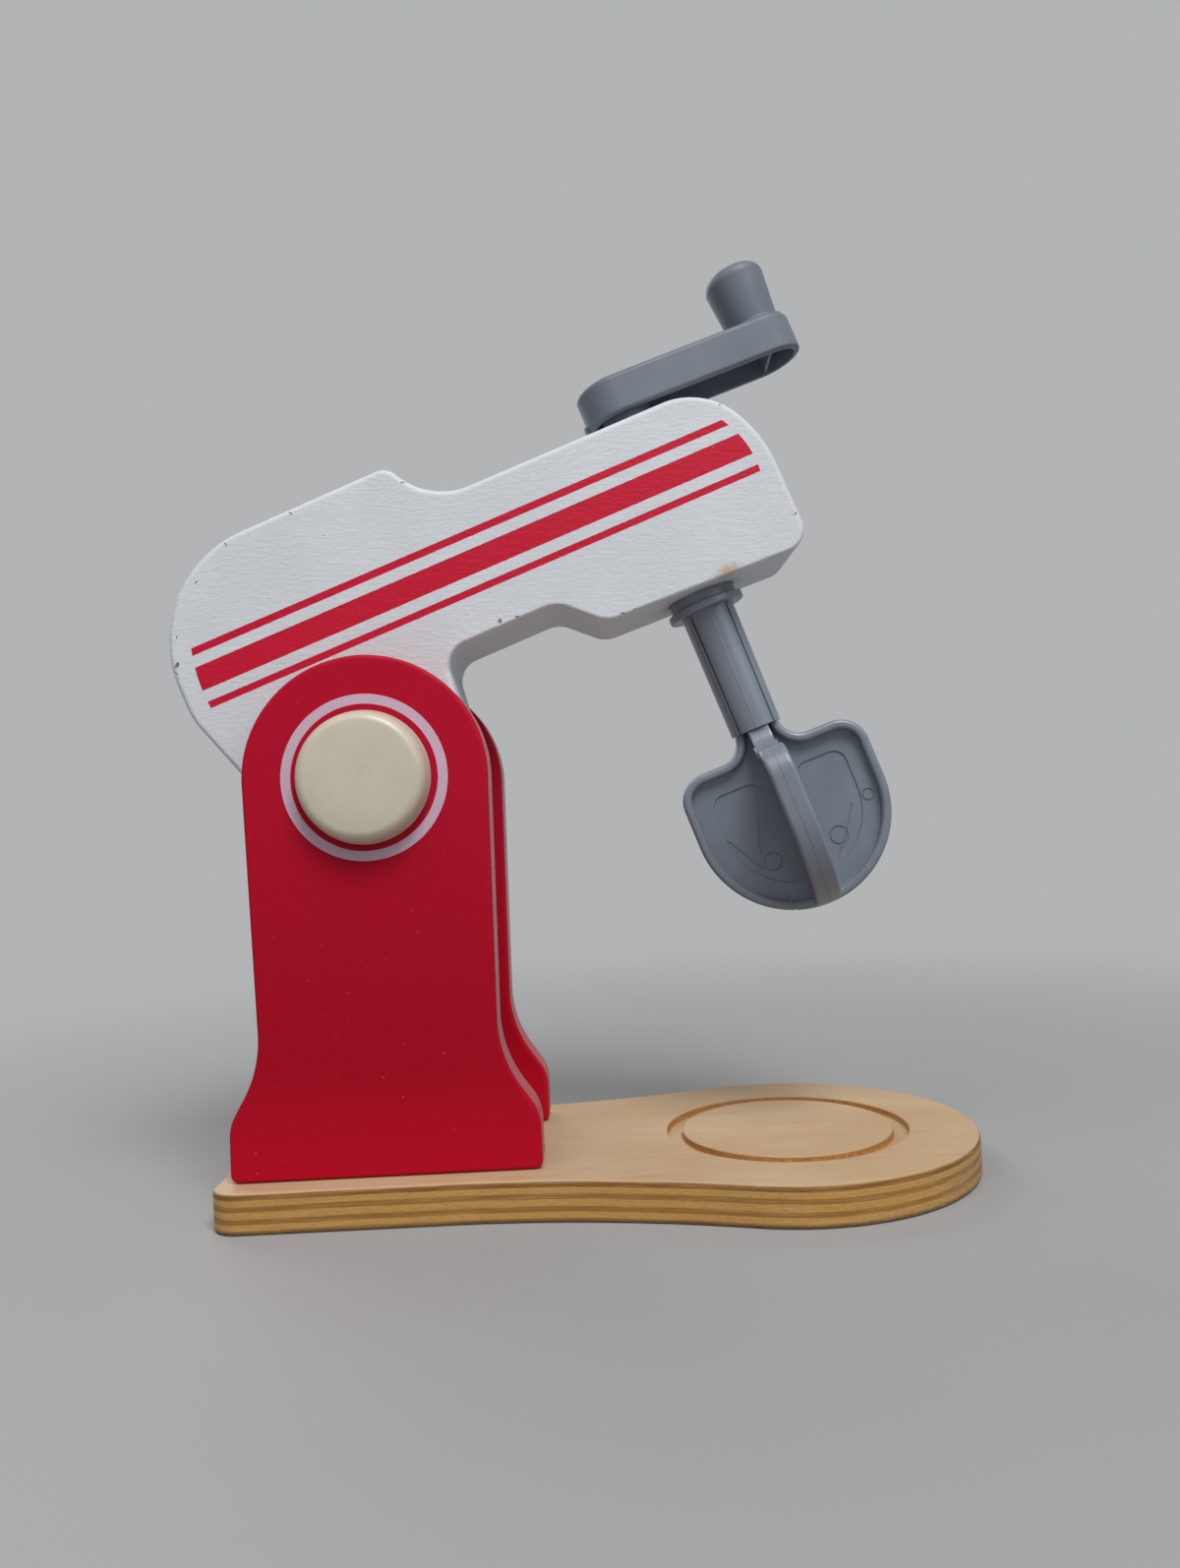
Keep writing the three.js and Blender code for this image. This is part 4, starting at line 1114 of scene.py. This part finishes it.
# Geometry nodes: one wood screw, set at each point of a mesh with its head down
def screwTree():
    tree, node, given = startTree("woodScrew", *[(name, "Float") for name in woodScrew],
                                  ("Seed", "Int"))

    def calc(operation, first, second=0.0):
        return node("ShaderNodeMath", {0: first, 1: second}, operation=operation).outputs[0]

    # The body is a stack of rings: a cylinder whose rings are moved in or out
    length = given["Length"]
    body = node("GeometryNodeMeshCylinder", {
        "Vertices": screwForm["sides"], "Side Segments": screwForm["rings"],
        "Fill Segments": 1, "Radius": 1.0, "Depth": length})
    place = node("ShaderNodeSeparateXYZ", {0: node("GeometryNodeInputPosition", {}).outputs[0]})
    x, y, z = place.outputs
    height = calc("ADD", z, calc("MULTIPLY", length, 0.5))
    turn = calc("DIVIDE", calc("ARCTAN2", y, x), 2 * math.pi)
    wave = calc("PINGPONG", calc("ADD", calc("DIVIDE", height, given["Pitch"]), turn), 0.5)
    slope = calc("MULTIPLY", wave, screwForm["steepness"])
    ridge = calc("MAXIMUM", calc("SUBTRACT", 1.0, slope), 0.0)
    started = calc("GREATER_THAN", height, calc("MULTIPLY", length, screwForm["plainShare"]))
    thread = calc("MULTIPLY", calc("MULTIPLY", ridge, given["Thread Height"]), started)
    narrowing = calc("DIVIDE", calc("SUBTRACT", given["Head Radius"], given["Shank Radius"]),
                     given["Head Height"])
    cone = calc("SUBTRACT", given["Head Radius"], calc("MULTIPLY", height, narrowing))
    core = calc("MAXIMUM", cone, calc("SUBTRACT", given["Shank Radius"], given["Thread Height"]))
    sharp = calc("MINIMUM", calc("DIVIDE", calc("SUBTRACT", length, height), given["Tip"]), 1.0)
    radius = calc("ADD", calc("MULTIPLY", calc("ADD", core, thread), sharp), 0.02)
    spot = node("ShaderNodeCombineXYZ", {0: calc("MULTIPLY", x, radius),
                                         1: calc("MULTIPLY", y, radius), 2: height})
    shaped = node("GeometryNodeSetPosition", {"Geometry": body.outputs[0],
                                              "Position": spot.outputs[0]})
    carved = node("GeometryNodeMeshBoolean", {"Mesh 1": shaped.outputs[0]}, solver="EXACT",
                  operation="DIFFERENCE")
    wide = calc("MULTIPLY", given["Recess"], 2.0)
    for long, short in ((0, 1), (1, 0)):
        extent = node("ShaderNodeCombineXYZ", {
            long: wide, short: calc("MULTIPLY", given["Recess"], screwForm["crossWidth"]),
            2: wide})
        bar = node("GeometryNodeMeshCube", {"Size": extent.outputs[0]})
        tree.links.new(bar.outputs[0], carved.inputs["Mesh 2"])
    spin = node("FunctionNodeRandomValue", {"Seed": given["Seed"], 3: 2 * math.pi},
                data_type="FLOAT")
    around = node("ShaderNodeCombineXYZ", {2: spin.outputs[1]})
    placed = node("GeometryNodeInstanceOnPoints", {
        "Points": given["Geometry"], "Instance": carved.outputs[0],
        "Rotation": around.outputs[0]})
    endTree(node, placed, given["Finish"])
    return tree


def screwSet(name, places, matrix, tree, finish, sizes):
    mesh = bpy.data.meshes.new(name)
    mesh.from_pydata([Vector(place) for place in places], [], [])
    return moved(useTree(addObject(name, mesh), tree, {**sizes, "Seed": 3, "Finish": finish}),
                 matrix)


print("finishes")
paint = {
    "white": tone(207, 211, 215),
    "whiteShade": tone(201, 205, 210),
    "bareWood": tone(198, 174, 144),
    "rubbed": tone(180, 154, 122),
    "dirt": tone(150, 140, 128),
    "stripe": tone(190, 6, 46),
    "stripes": ((58.9, 61.35), (47.35, 55.15), (41.25, 43.55)),  # heights, low and high
    "stripeSide": (17.9, 18.2),  # out from the middle, from where the stripes are painted
    "edgeSide": (16.8, 17.8),  # and from where the coat is the edge's
    "stripeFront": (121.24, 44.7, 30.85),  # the round that cuts the stripes off, and its radius
    "stripeBack": (16, 47, 54.6),
    "rub": (129.6, -18.4, 16.2),
    "rubShape": (0.6, 0.35, 1.3),
    # The red is painted lighter and bluer at the top and lighter at the foot, and darker between:
    # painted light and painted shade
    "red": tone(177, 12, 43),
    "redFootBounceLight": tone(180, 6, 35),
    "redFootBounceFade": (50, 20),
    "redMottleAndPaintedShade": tone(161, 2, 28),
    "redWorn": tone(196, 84, 88),
    "ring": tone(193, 163, 183),
    "ringPale": tone(205, 177, 192),
    "ringFrom": 22.3,
    "ringTo": 25.3,
    "nicks": ((20.6, -83.6, 0.5), (2.1, -90.0, 0.45), (7.8, -96.1, 0.4), (-19.5, -60.2, 0.35),
              (14.0, -47.5, 0.3)),
    "cream": tone(199, 190, 172),
    "creamShade": tone(193, 184, 166),
    "creamDirt": tone(168, 160, 142),
    "smudges": ((-8.6, -5.2, 1.0), (1.2, 1.6, 2.6), (3.6, 0.9, 1.2)),
}


def whitePaint():
    made = Finish("whitePaint", headPlace, Specular_IOR_Level=0.25)
    forward, across, above = made.split(made.place)
    side = made.calc("ABSOLUTE", across)
    broad = made.noise(0.035, 2)
    colour = made.mix(made.ramp(broad, 0.3, 0.75), paint["whiteShade"], paint["white"])

    # Three stripes, cut off round at both ends, on the flat of each side
    wander = made.all(made.calc("SUBTRACT", made.noise(0.9, 2), 0.5), 0.25)
    level = made.sum(above, wander)
    ends = []
    for name, bound in (("stripeFront", "MAXIMUM"), ("stripeBack", "MINIMUM")):
        x, z, radius = paint[name]
        run = made.calc(bound, made.calc("SUBTRACT", forward, x), 0.0)
        reach = made.across(run, made.calc("SUBTRACT", above, z))
        ends.append(made.ramp(reach, radius + 0.08, radius - 0.08))
    stripes = made.all(made.any(*[made.band(level, *span, 0.07) for span in paint["stripes"]]),
                       *ends, made.ramp(side, *paint["stripeSide"]))
    speckle = made.noise(2.6)
    worn = made.ramp(speckle, 0.3, 0.24, 1.0, 0.6)
    colour = made.lay(colour, made.all(stripes, worn), paint["stripe"])

    # Small chips where the edges were knocked, and one brown rub by the beater
    edge = made.ramp(side, *paint["edgeSide"])
    chips = made.all(edge, made.ramp(made.noise(0.42, 4, 0.65), 0.72, 0.78))
    colour = made.lay(colour, chips, paint["bareWood"], 0.3)
    shape = paint["rubShape"]
    low = made.distance([place * size for place, size in zip(paint["rub"], shape)],
                        made.stretched(*shape))
    ragged = made.sum(low, made.all(made.noise(0.55, 4, 0.65), 3.2))
    rubbed = made.all(made.ramp(ragged, 5.4, 1.6), made.ramp(across, -14.0, -17.0))
    colour = made.lay(colour, rubbed, paint["rubbed"], 0.9)
    knocked = [made.ramp(made.distance((x, y, z)), size * 0.95, size * 0.3)
               for x, z, y, size, _ in dents]
    colour = made.lay(colour, made.all(made.any(*knocked), made.ramp(speckle, 0.36, 0.6)),
                      paint["dirt"], 0.06)
    spots = made.node("TexVoronoi", {"Vector": made.place, "Scale": 0.07}).outputs["Distance"]
    specks = made.all(made.ramp(spots, 0.034, 0.02), made.ramp(broad, 0.45, 0.6))
    colour = made.lay(colour, specks, paint["dirt"], 0.5)

    # Brush marks and the wood's grain under the paint, and a rougher coat round the edges
    flat = made.node("Mapping", {"Vector": made.millimetres(Matrix.Identity(4)),
                                 "Scale": (0.3, 1.0, 1.5)}).outputs[0]
    brushed = made.noise(0.8, 3, 0.6, flat)
    rough = made.all(edge, made.noise(0.6, 4, 0.7), 0.16)
    height = made.sum(made.all(brushed, 0.13), made.all(made.noise(1.7, 2), 0.03), rough,
                      made.all(stripes, 0.012), made.all(made.any(chips, specks), -0.08))
    return made.finish(colour, height, made.sum(made.all(brushed, 0.12), 0.5))


def redPaint():
    made = Finish("redPaint", standPlace)
    along, across, up = made.split(made.place)
    side = made.calc("ABSOLUTE", across)
    # Painted shade and painted light: darker low on the panels, lighter and bluer towards the top,
    # as if lit from above
    colour = made.mix(made.ramp(up, 30, 150), paint["redMottleAndPaintedShade"], paint["red"])
    colour = made.lay(colour, made.noise(0.03, 2), paint["redMottleAndPaintedShade"], 0.25)
    # Painted light at the foot, as if thrown up from the board below
    colour = made.lay(colour, made.ramp(up, *paint["redFootBounceFade"]), paint["redFootBounceLight"])
    radius = made.across(along, made.calc("SUBTRACT", up, pivot.z))
    ring = made.all(made.band(radius, paint["ringFrom"], paint["ringTo"], 0.06),
                    made.ramp(side, 33.0, 33.6))
    fine = made.noise(3.2, 2)
    colour = made.mix(ring, colour, made.mix(made.ramp(fine, 0.35, 0.65), paint["ring"],
                                             paint["ringPale"]))
    # Paint rubbed thin on the sanded edges, and a few pale nicks
    inner, outer = panel["innerY"], panel["innerY"] + panel["thickness"]
    edge = made.calc("SUBTRACT", 1.0, made.band(side, inner + 0.9, outer - 0.9, 0.4))
    wear = made.all(edge, made.ramp(made.noise(0.5, 4, 0.65), 0.66, 0.74))
    spots = [made.ramp(made.distance((x, -outer, pivot.z + z)), size, size * 0.5)
             for x, z, size in paint["nicks"]]
    colour = made.lay(colour, made.any(wear, *spots), paint["redWorn"], 0.5)
    grain = made.noise(0.8, 3, vector=made.stretched(1.6, 1.6, 0.22))
    height = made.sum(made.all(grain, 0.03), made.all(made.noise(1.6), 0.02),
                      made.all(ring, 0.02))
    # The narrow sides have a glossier coat than the sanded faces
    facing = made.split(made.node("TexCoord", {}).outputs["Normal"])[1]
    narrow = made.ramp(made.calc("ABSOLUTE", facing), 0.5, 0.2)
    made.feed(made.shader.inputs["Specular IOR Level"],
              made.ramp(narrow, 0.0, 1.0, 0.12, 0.45))
    coat = made.sum(made.all(grain, 0.14), 0.44)
    return made.finish(colour, height, made.sum(coat, made.all(narrow, -0.18)))


plywood = {
    "dark": tone(148, 103, 40),
    "darkFibreAndTopShade": tone(118, 76, 28),
    "light": tone(190, 144, 76),
    "gleam": tone(208, 172, 108),
    "veneer": tone(188, 162, 128),
    "veneerShade": tone(178, 149, 113),
    "groove": tone(160, 106, 70),
    "fibre": tone(222, 192, 150),
    "knockedFrom": (50, 95),  # along the board, where the torn fibres come in
    "knockedLow": (4.2, 0.6),  # heights between which they die out
    "knockedTip": (86, 106),  # and the same again at the rounded end, near the top
    "knockedHigh": (10.2, 7.4),
}


def plywoodFinish():
    made = Finish("plywood")
    x, y, z = made.split(made.place)
    facing = made.node("TexCoord", {}).outputs["Normal"]
    up = made.split(facing)[2]
    ripple = made.calc("SUBTRACT", made.noise(1.0, vector=made.stretched(0.02, 0.02, 0.0)), 0.5)
    level = made.sum(z, made.all(ripple, 0.9))
    plies = base["plies"]
    dark = made.any(made.ramp(level, plies[0] + 0.1, plies[0] - 0.1),
                    *[made.band(level, plies[i], plies[i + 1], 0.1) for i in (1, 3, 5)])
    streak = made.noise(1.0, 4, 0.6, made.stretched(0.06, 0.06, 2.2))
    fibre = made.noise(1.0, 4, 0.7, made.stretched(0.5, 0.5, 2.4))
    side = made.mix(dark, plywood["light"], plywood["dark"])
    # The top ply is painted darker still: painted shade of the eased top edge
    side = made.lay(side, made.band(level, plies[5], plies[6], 0.1), plywood["darkFibreAndTopShade"], 0.75)
    glue = made.any(*[made.band(level, plies[i] - 0.16, plies[i] - 0.02, 0.05)
                      for i in (0, 2, 4, 6)])
    side = made.lay(side, glue, plywood["gleam"], 0.4)
    side = made.lay(side, made.ramp(streak, 0.42, 0.75), plywood["gleam"], 0.4)
    side = made.lay(side, made.ramp(fibre, 0.55, 0.3), plywood["darkFibreAndTopShade"], 0.35)
    # The knocked end: pale torn fibres
    shreds = made.noise(1.0, 5, 0.75, made.stretched(0.5, 0.5, 1.4))
    tip = made.all(made.ramp(x, *plywood["knockedTip"]),
                   made.ramp(level, *plywood["knockedHigh"]))
    knocked = made.any(made.ramp(level, *plywood["knockedLow"]), tip)
    torn = made.all(made.ramp(x, *plywood["knockedFrom"]), knocked,
                    made.ramp(shreds, 0.5, 0.62))
    side = made.lay(side, torn, plywood["fibre"], 0.8)

    # Rotary-cut veneer on both faces, its grain along the board
    grain = made.noise(0.55, 5, 0.62, made.stretched(0.05, 1.0, 1.0))
    cloud = made.noise(0.03, 3, vector=made.stretched(0.6, 1.0, 1.0))
    face = made.mix(made.ramp(cloud, 0.35, 0.7), plywood["veneer"], plywood["veneerShade"])
    face = made.lay(face, made.ramp(grain, 0.5, 0.78), plywood["groove"], 0.4)
    pores = made.noise(0.9, 3, vector=made.stretched(0.25, 3.2, 1.0))
    face = made.lay(face, made.ramp(pores, 0.66, 0.74), plywood["dark"], 0.25)
    # The turned groove: end grain on its walls
    radius = made.across(made.calc("SUBTRACT", x, discX), y)
    inner, top = base["grooveInnerRadius"], base["thickness"]
    walls = made.all(made.band(radius, inner - 0.4, inner + base["grooveWidth"] + 0.4, 0.1),
                     made.ramp(z, top, top - 0.4), made.ramp(up, 0.9, 0.6))
    hatch = made.noise(1.0, 4, 0.7, made.stretched(1.4, 1.4, 0.8))
    wall = made.mix(made.ramp(hatch, 0.35, 0.65), plywood["groove"], plywood["light"])
    flat = made.ramp(made.calc("ABSOLUTE", up), 0.62, 0.78)
    colour = made.mix(walls, made.mix(flat, side, face), wall)
    cut = made.all(made.sum(made.all(fibre, 0.1), made.all(torn, 0.2)),
                   made.calc("SUBTRACT", 1.0, flat))
    height = made.sum(cut, made.all(made.sum(grain, pores), 0.03))
    return made.finish(colour, height, made.sum(made.all(fibre, 0.2), 0.45))


def creamPaint():
    made = Finish("creamPaint", at(pivot.x, 0, pivot.z), Coat_Weight=0.15, Coat_Roughness=0.3)
    along, across, up = made.split(made.place)
    colour = made.mix(made.ramp(made.noise(0.06), 0.3, 0.7), paint["cream"],
                      paint["creamShade"])
    smudges = [made.ramp(made.across(made.calc("SUBTRACT", along, x),
                                     made.calc("SUBTRACT", up, z)), size, 0.1)
               for x, z, size in paint["smudges"]]
    smudge = made.all(made.any(*smudges), made.ramp(made.noise(0.9, 4), 0.35, 0.7),
                      made.ramp(across, -40.0, -42.0))
    colour = made.lay(colour, smudge, paint["creamDirt"], 0.5)
    fine = made.noise(1.3, 4)
    return made.finish(colour, made.all(fine, 0.03), made.sum(made.all(fine, 0.1), 0.3))


plastic = {
    # Tone, shade, specular level and roughness
    # The crank is painted darker and the beater lighter than the one grey plastic they share:
    # painted shade and painted light for how the lamps reach each
    "crank": (tone(108, 116, 126), tone(100, 108, 118), 0.3, 0.46),
    "beater": (tone(116, 125, 137), tone(108, 117, 129), 0.8, 0.33),
    "flow": tone(130, 138, 147),
    "nylon": tone(222, 222, 215),
    "nylonShade": tone(205, 204, 196),
}


def greyPlastic(name, place):
    light, shade, specular, roughness = plastic[name]
    made = Finish(name + "Grey", place, Specular_IOR_Level=specular)
    colour = made.mix(made.ramp(made.noise(0.05), 0.3, 0.7), light, shade)
    # Paler swirls where the melt flowed
    flow = made.noise(0.35, 4, 0.6, made.stretched(0.5, 0.5, 0.12))
    colour = made.lay(colour, made.ramp(flow, 0.58, 0.8), plastic["flow"], 0.3)
    height = made.sum(made.all(made.noise(3.5, 2), 0.005), made.all(made.noise(0.45), 0.03))
    return made.finish(colour, height, made.sum(made.ramp(flow, 0.3, 0.8, 0.0, 0.1),
                                                roughness))


def nylonFinish():
    made = Finish("nylon", headPlace, Roughness=0.45)
    colour = made.mix(made.noise(0.4), plastic["nylon"], plastic["nylonShade"])
    return made.finish(colour, made.all(made.noise(3.0, 2), 0.02))


wood = {"beech": tone(216, 180, 136), "beechShade": tone(186, 146, 103),
        "across": (1.6, 0.12, 1.6), "upright": (1.6, 1.6, 0.12)}


def beechFinish(name, stretch):
    made = Finish(name, Roughness=0.6)
    grain = made.noise(1.0, 4, 0.6, made.stretched(*stretch))
    colour = made.mix(made.ramp(grain, 0.35, 0.7), wood["beech"], wood["beechShade"])
    return made.finish(colour, made.all(grain, 0.06))


metal = {"steel": tone(176, 178, 182), "steelShade": tone(146, 148, 152)}


def steelFinish(name, place):
    made = Finish(name, place, Metallic=1.0)
    cloud = made.noise(0.5, 4)
    colour = made.mix(cloud, metal["steel"], metal["steelShade"])
    scratches = made.noise(1.0, vector=made.stretched(4.0, 4.0, 0.6))
    return made.finish(colour, made.all(scratches, 0.012), made.sum(made.all(cloud, 0.2), 0.26))


print("assembly")
white, red, board = whitePaint(), redPaint(), plywoodFinish()
cream, nylon = creamPaint(), nylonFinish()
crankGrey, beaterGrey = greyPlastic("crank", crankPlace), greyPlastic("beater", beaterPlace)
acrossGrain, uprightGrain = (beechFinish(name + "Beech", wood[name])
                             for name in ("across", "upright"))
steel, driveSteel = steelFinish("steel", standPlace), steelFinish("driveSteel", beaterPlace)
screws = screwTree()

finishPiece(baseBoard(), board, "stand", "plywood", "base_board")
finishPiece(sidePanel("sidePanelRight", -1), red, "stand", "red_paint", "side_panel_right")
finishPiece(sidePanel("sidePanelLeft", 1), red, "stand", "red_paint", "side_panel_left")
finishPiece(standSpacer(), red, "stand", "red_paint", "stand_spacer")
crossDowels = [crossPin("crossDowels", pins["crossRadius"], pins["crossEnd"], z, flutes)
               for z, flutes in ((pivot.z - bore["stop"], 0), (bore["lowerDowel"], pins["flutes"]),
                                 (bore["upperDowel"], pins["flutes"]))]
finishPiece(gather(*crossDowels), acrossGrain, "stand", "bare_wood",
            "stop_dowel", "cross_dowel_lower", "cross_dowel_upper")
locatingDowels = [locatingDowel("locatingDowels", y) for y in (-panelMidY, panelMidY)]
finishPiece(gather(*locatingDowels), uprightGrain, "stand", "bare_wood",
            "locating_dowel_right", "locating_dowel_left")
finishPiece(screwSet("woodScrews", [(x, y, screw["sink"]) for x, y in screwPlaces],
                     Matrix.Identity(4), screws, steel, woodScrew),
            steel, "stand", "steel", "panel_screw_right_rear", "panel_screw_right_front",
            "panel_screw_left_rear", "panel_screw_left_front", "spacer_screw_rear",
            "spacer_screw_front")
finishPiece(crossPin("pivotAxle", pins["axleRadius"], pins["axleEnd"], pivot.z), acrossGrain,
            "dial", "bare_wood", "pivot_axle")
finishPiece(dialKnob("dialKnobRight", -1), cream, "dial", "cream_paint", "dial_knob_right")
finishPiece(dialKnob("dialKnobLeft", 1), cream, "dial", "cream_paint", "dial_knob_left")
finishPiece(mixerHead(), white, "head", "white_paint", "mixer_head")
finishPiece(tiltWasher("tiltWasherRight", -1), nylon, "head", "white_plastic",
            "tilt_washer_right")
finishPiece(tiltWasher("tiltWasherLeft", 1), nylon, "head", "white_plastic", "tilt_washer_left")
finishPiece(crankBush(), crankGrey, "head", "grey_plastic", "crank_bush")
finishPiece(crankHandle(), crankGrey, "drive", "grey_plastic", "crank_handle")
finishPiece(driveSleeve(), beaterGrey, "drive", "grey_plastic", "drive_sleeve")
finishPiece(beaterPiece(beaterGrey), beaterGrey, "drive", "grey_plastic", "beater")
finishPiece(moved(flatRing("driveWasher", *driveWasherSizes), beaterPlace), driveSteel, "drive",
            "steel", "drive_washer")
finishPiece(screwSet("driveScrew", [(0, 0, driveScrewBottom)], beaterPlace, screws, driveSteel,
                     driveScrew), driveSteel, "drive", "steel", "drive_screw")


print("studio")
studio = {
    "floor": tone(154, 154, 155),
    "floorRoughness": 0.8,
    "back": tone(178, 180, 182),
    "fadeFrom": 100,  # millimetres out, where the floor starts to fade into the plain backdrop
    "fadeTo": 700,
    "floorRings": (0, 0.25, 0.6, 1.2),  # the studio's own sizes are in metres
    "wallRadius": 3.0,
    "wallHeight": 3.2,
    "fillet": 0.8,
    "drop": 0.0002,
    "sky": 0.14,
    "skyTone": (0.97, 0.985, 1.0, 1),
    "lamps": {  # place, size and power
        "front": ((0.3, -0.95, 1.6), 0.8, 28),
        "left": ((-0.8, -0.7, 1.4), 0.8, 4),
        "right": ((0.95, -1.1, 0.95), 0.8, 4),
        "behind": ((-0.9, 1.2, 1.1), 1.2, 10),
    },
    "aim": (0, 0, 0.1),
}
camera = {
    "place": (-0.001943, -0.368736, 0.112860),
    "nearest": 0.01,
    "lens": 25.454,
    "pitch": 2.2797,
    "heading": 0.1794,
    "roll": -2.8247,
}


def backdropFinish():
    made = Finish("backdrop", Roughness=studio["floorRoughness"])
    x, y, _ = made.split(made.place)
    made.shader.inputs["Base Color"].default_value = studio["floor"]
    glow = made.node("Emission", {"Color": studio["back"], "Strength": 1.0})
    seen = made.node("LightPath", {}).outputs
    far = made.ramp(made.across(x, y), studio["fadeFrom"], studio["fadeTo"])
    direct = made.any(seen["Is Camera Ray"], seen["Is Glossy Ray"], seen["Is Transmission Ray"])
    blend = made.node("MixShader", {0: made.all(far, direct), 1: made.shader.outputs[0],
                                    2: glow.outputs[0]})
    made.tree.links.new(blend.outputs[0], made.tree.nodes["Material Output"].inputs[0])
    return made.material


def makeStudio():
    radius, fillet = studio["wallRadius"], studio["fillet"]
    sides = fineness["wideSides"]
    floorRows = [(size, 0) for size in (*studio["floorRings"], radius - fillet)]
    floor = turned("studioFloor", floorRows, sides)
    turns = [quarterTurn * i / 12 for i in range(13)]
    rows = [(radius - fillet + fillet * math.sin(a), fillet * (1 - math.cos(a))) for a in turns]
    wall = turned("studioWall", rows + [(radius, studio["wallHeight"])], sides)
    wall.visible_diffuse = False
    wall.visible_shadow = False
    finish = backdropFinish()
    for piece in (floor, wall):
        work = bmesh.new()
        work.from_mesh(piece.data)
        caps = [face for face in work.faces if len(face.verts) > 4]
        bmesh.ops.delete(work, geom=caps, context="FACES_ONLY")
        work.to_mesh(piece.data)
        work.free()
        piece.data.shade_smooth()
        piece.data.materials.append(finish)
        piece.location.z = -studio["drop"]

    world = bpy.data.worlds.new("studio")
    bpy.context.scene.world = world
    world.use_nodes = True
    sky = world.node_tree.nodes["Background"]
    sky.inputs[0].default_value = studio["skyTone"]
    sky.inputs[1].default_value = studio["sky"]

    for name, (place, size, power) in studio["lamps"].items():
        light = bpy.data.lights.new(name, "AREA")
        light.energy = power
        light.size = size
        lamp = addObject(name, light)
        lamp.location = place
        aim = Vector(studio["aim"]) - lamp.location
        lamp.rotation_euler = aim.to_track_quat("-Z", "Y").to_euler()


def makeCamera():
    view = bpy.data.cameras.new("camera")
    view.lens = camera["lens"]
    view.clip_start = camera["nearest"]
    seat = addObject("camera", view)
    bpy.context.scene.camera = seat
    heading = about("Z", -math.radians(camera["heading"]))
    pitch = about("X", quarterTurn + math.radians(camera["pitch"]))
    roll = about("Z", math.radians(camera["roll"]))
    seat.matrix_world = at(*camera["place"]) @ heading @ pitch @ roll


makeStudio()
makeCamera()
bpy.context.scene.view_settings.view_transform = "Standard"
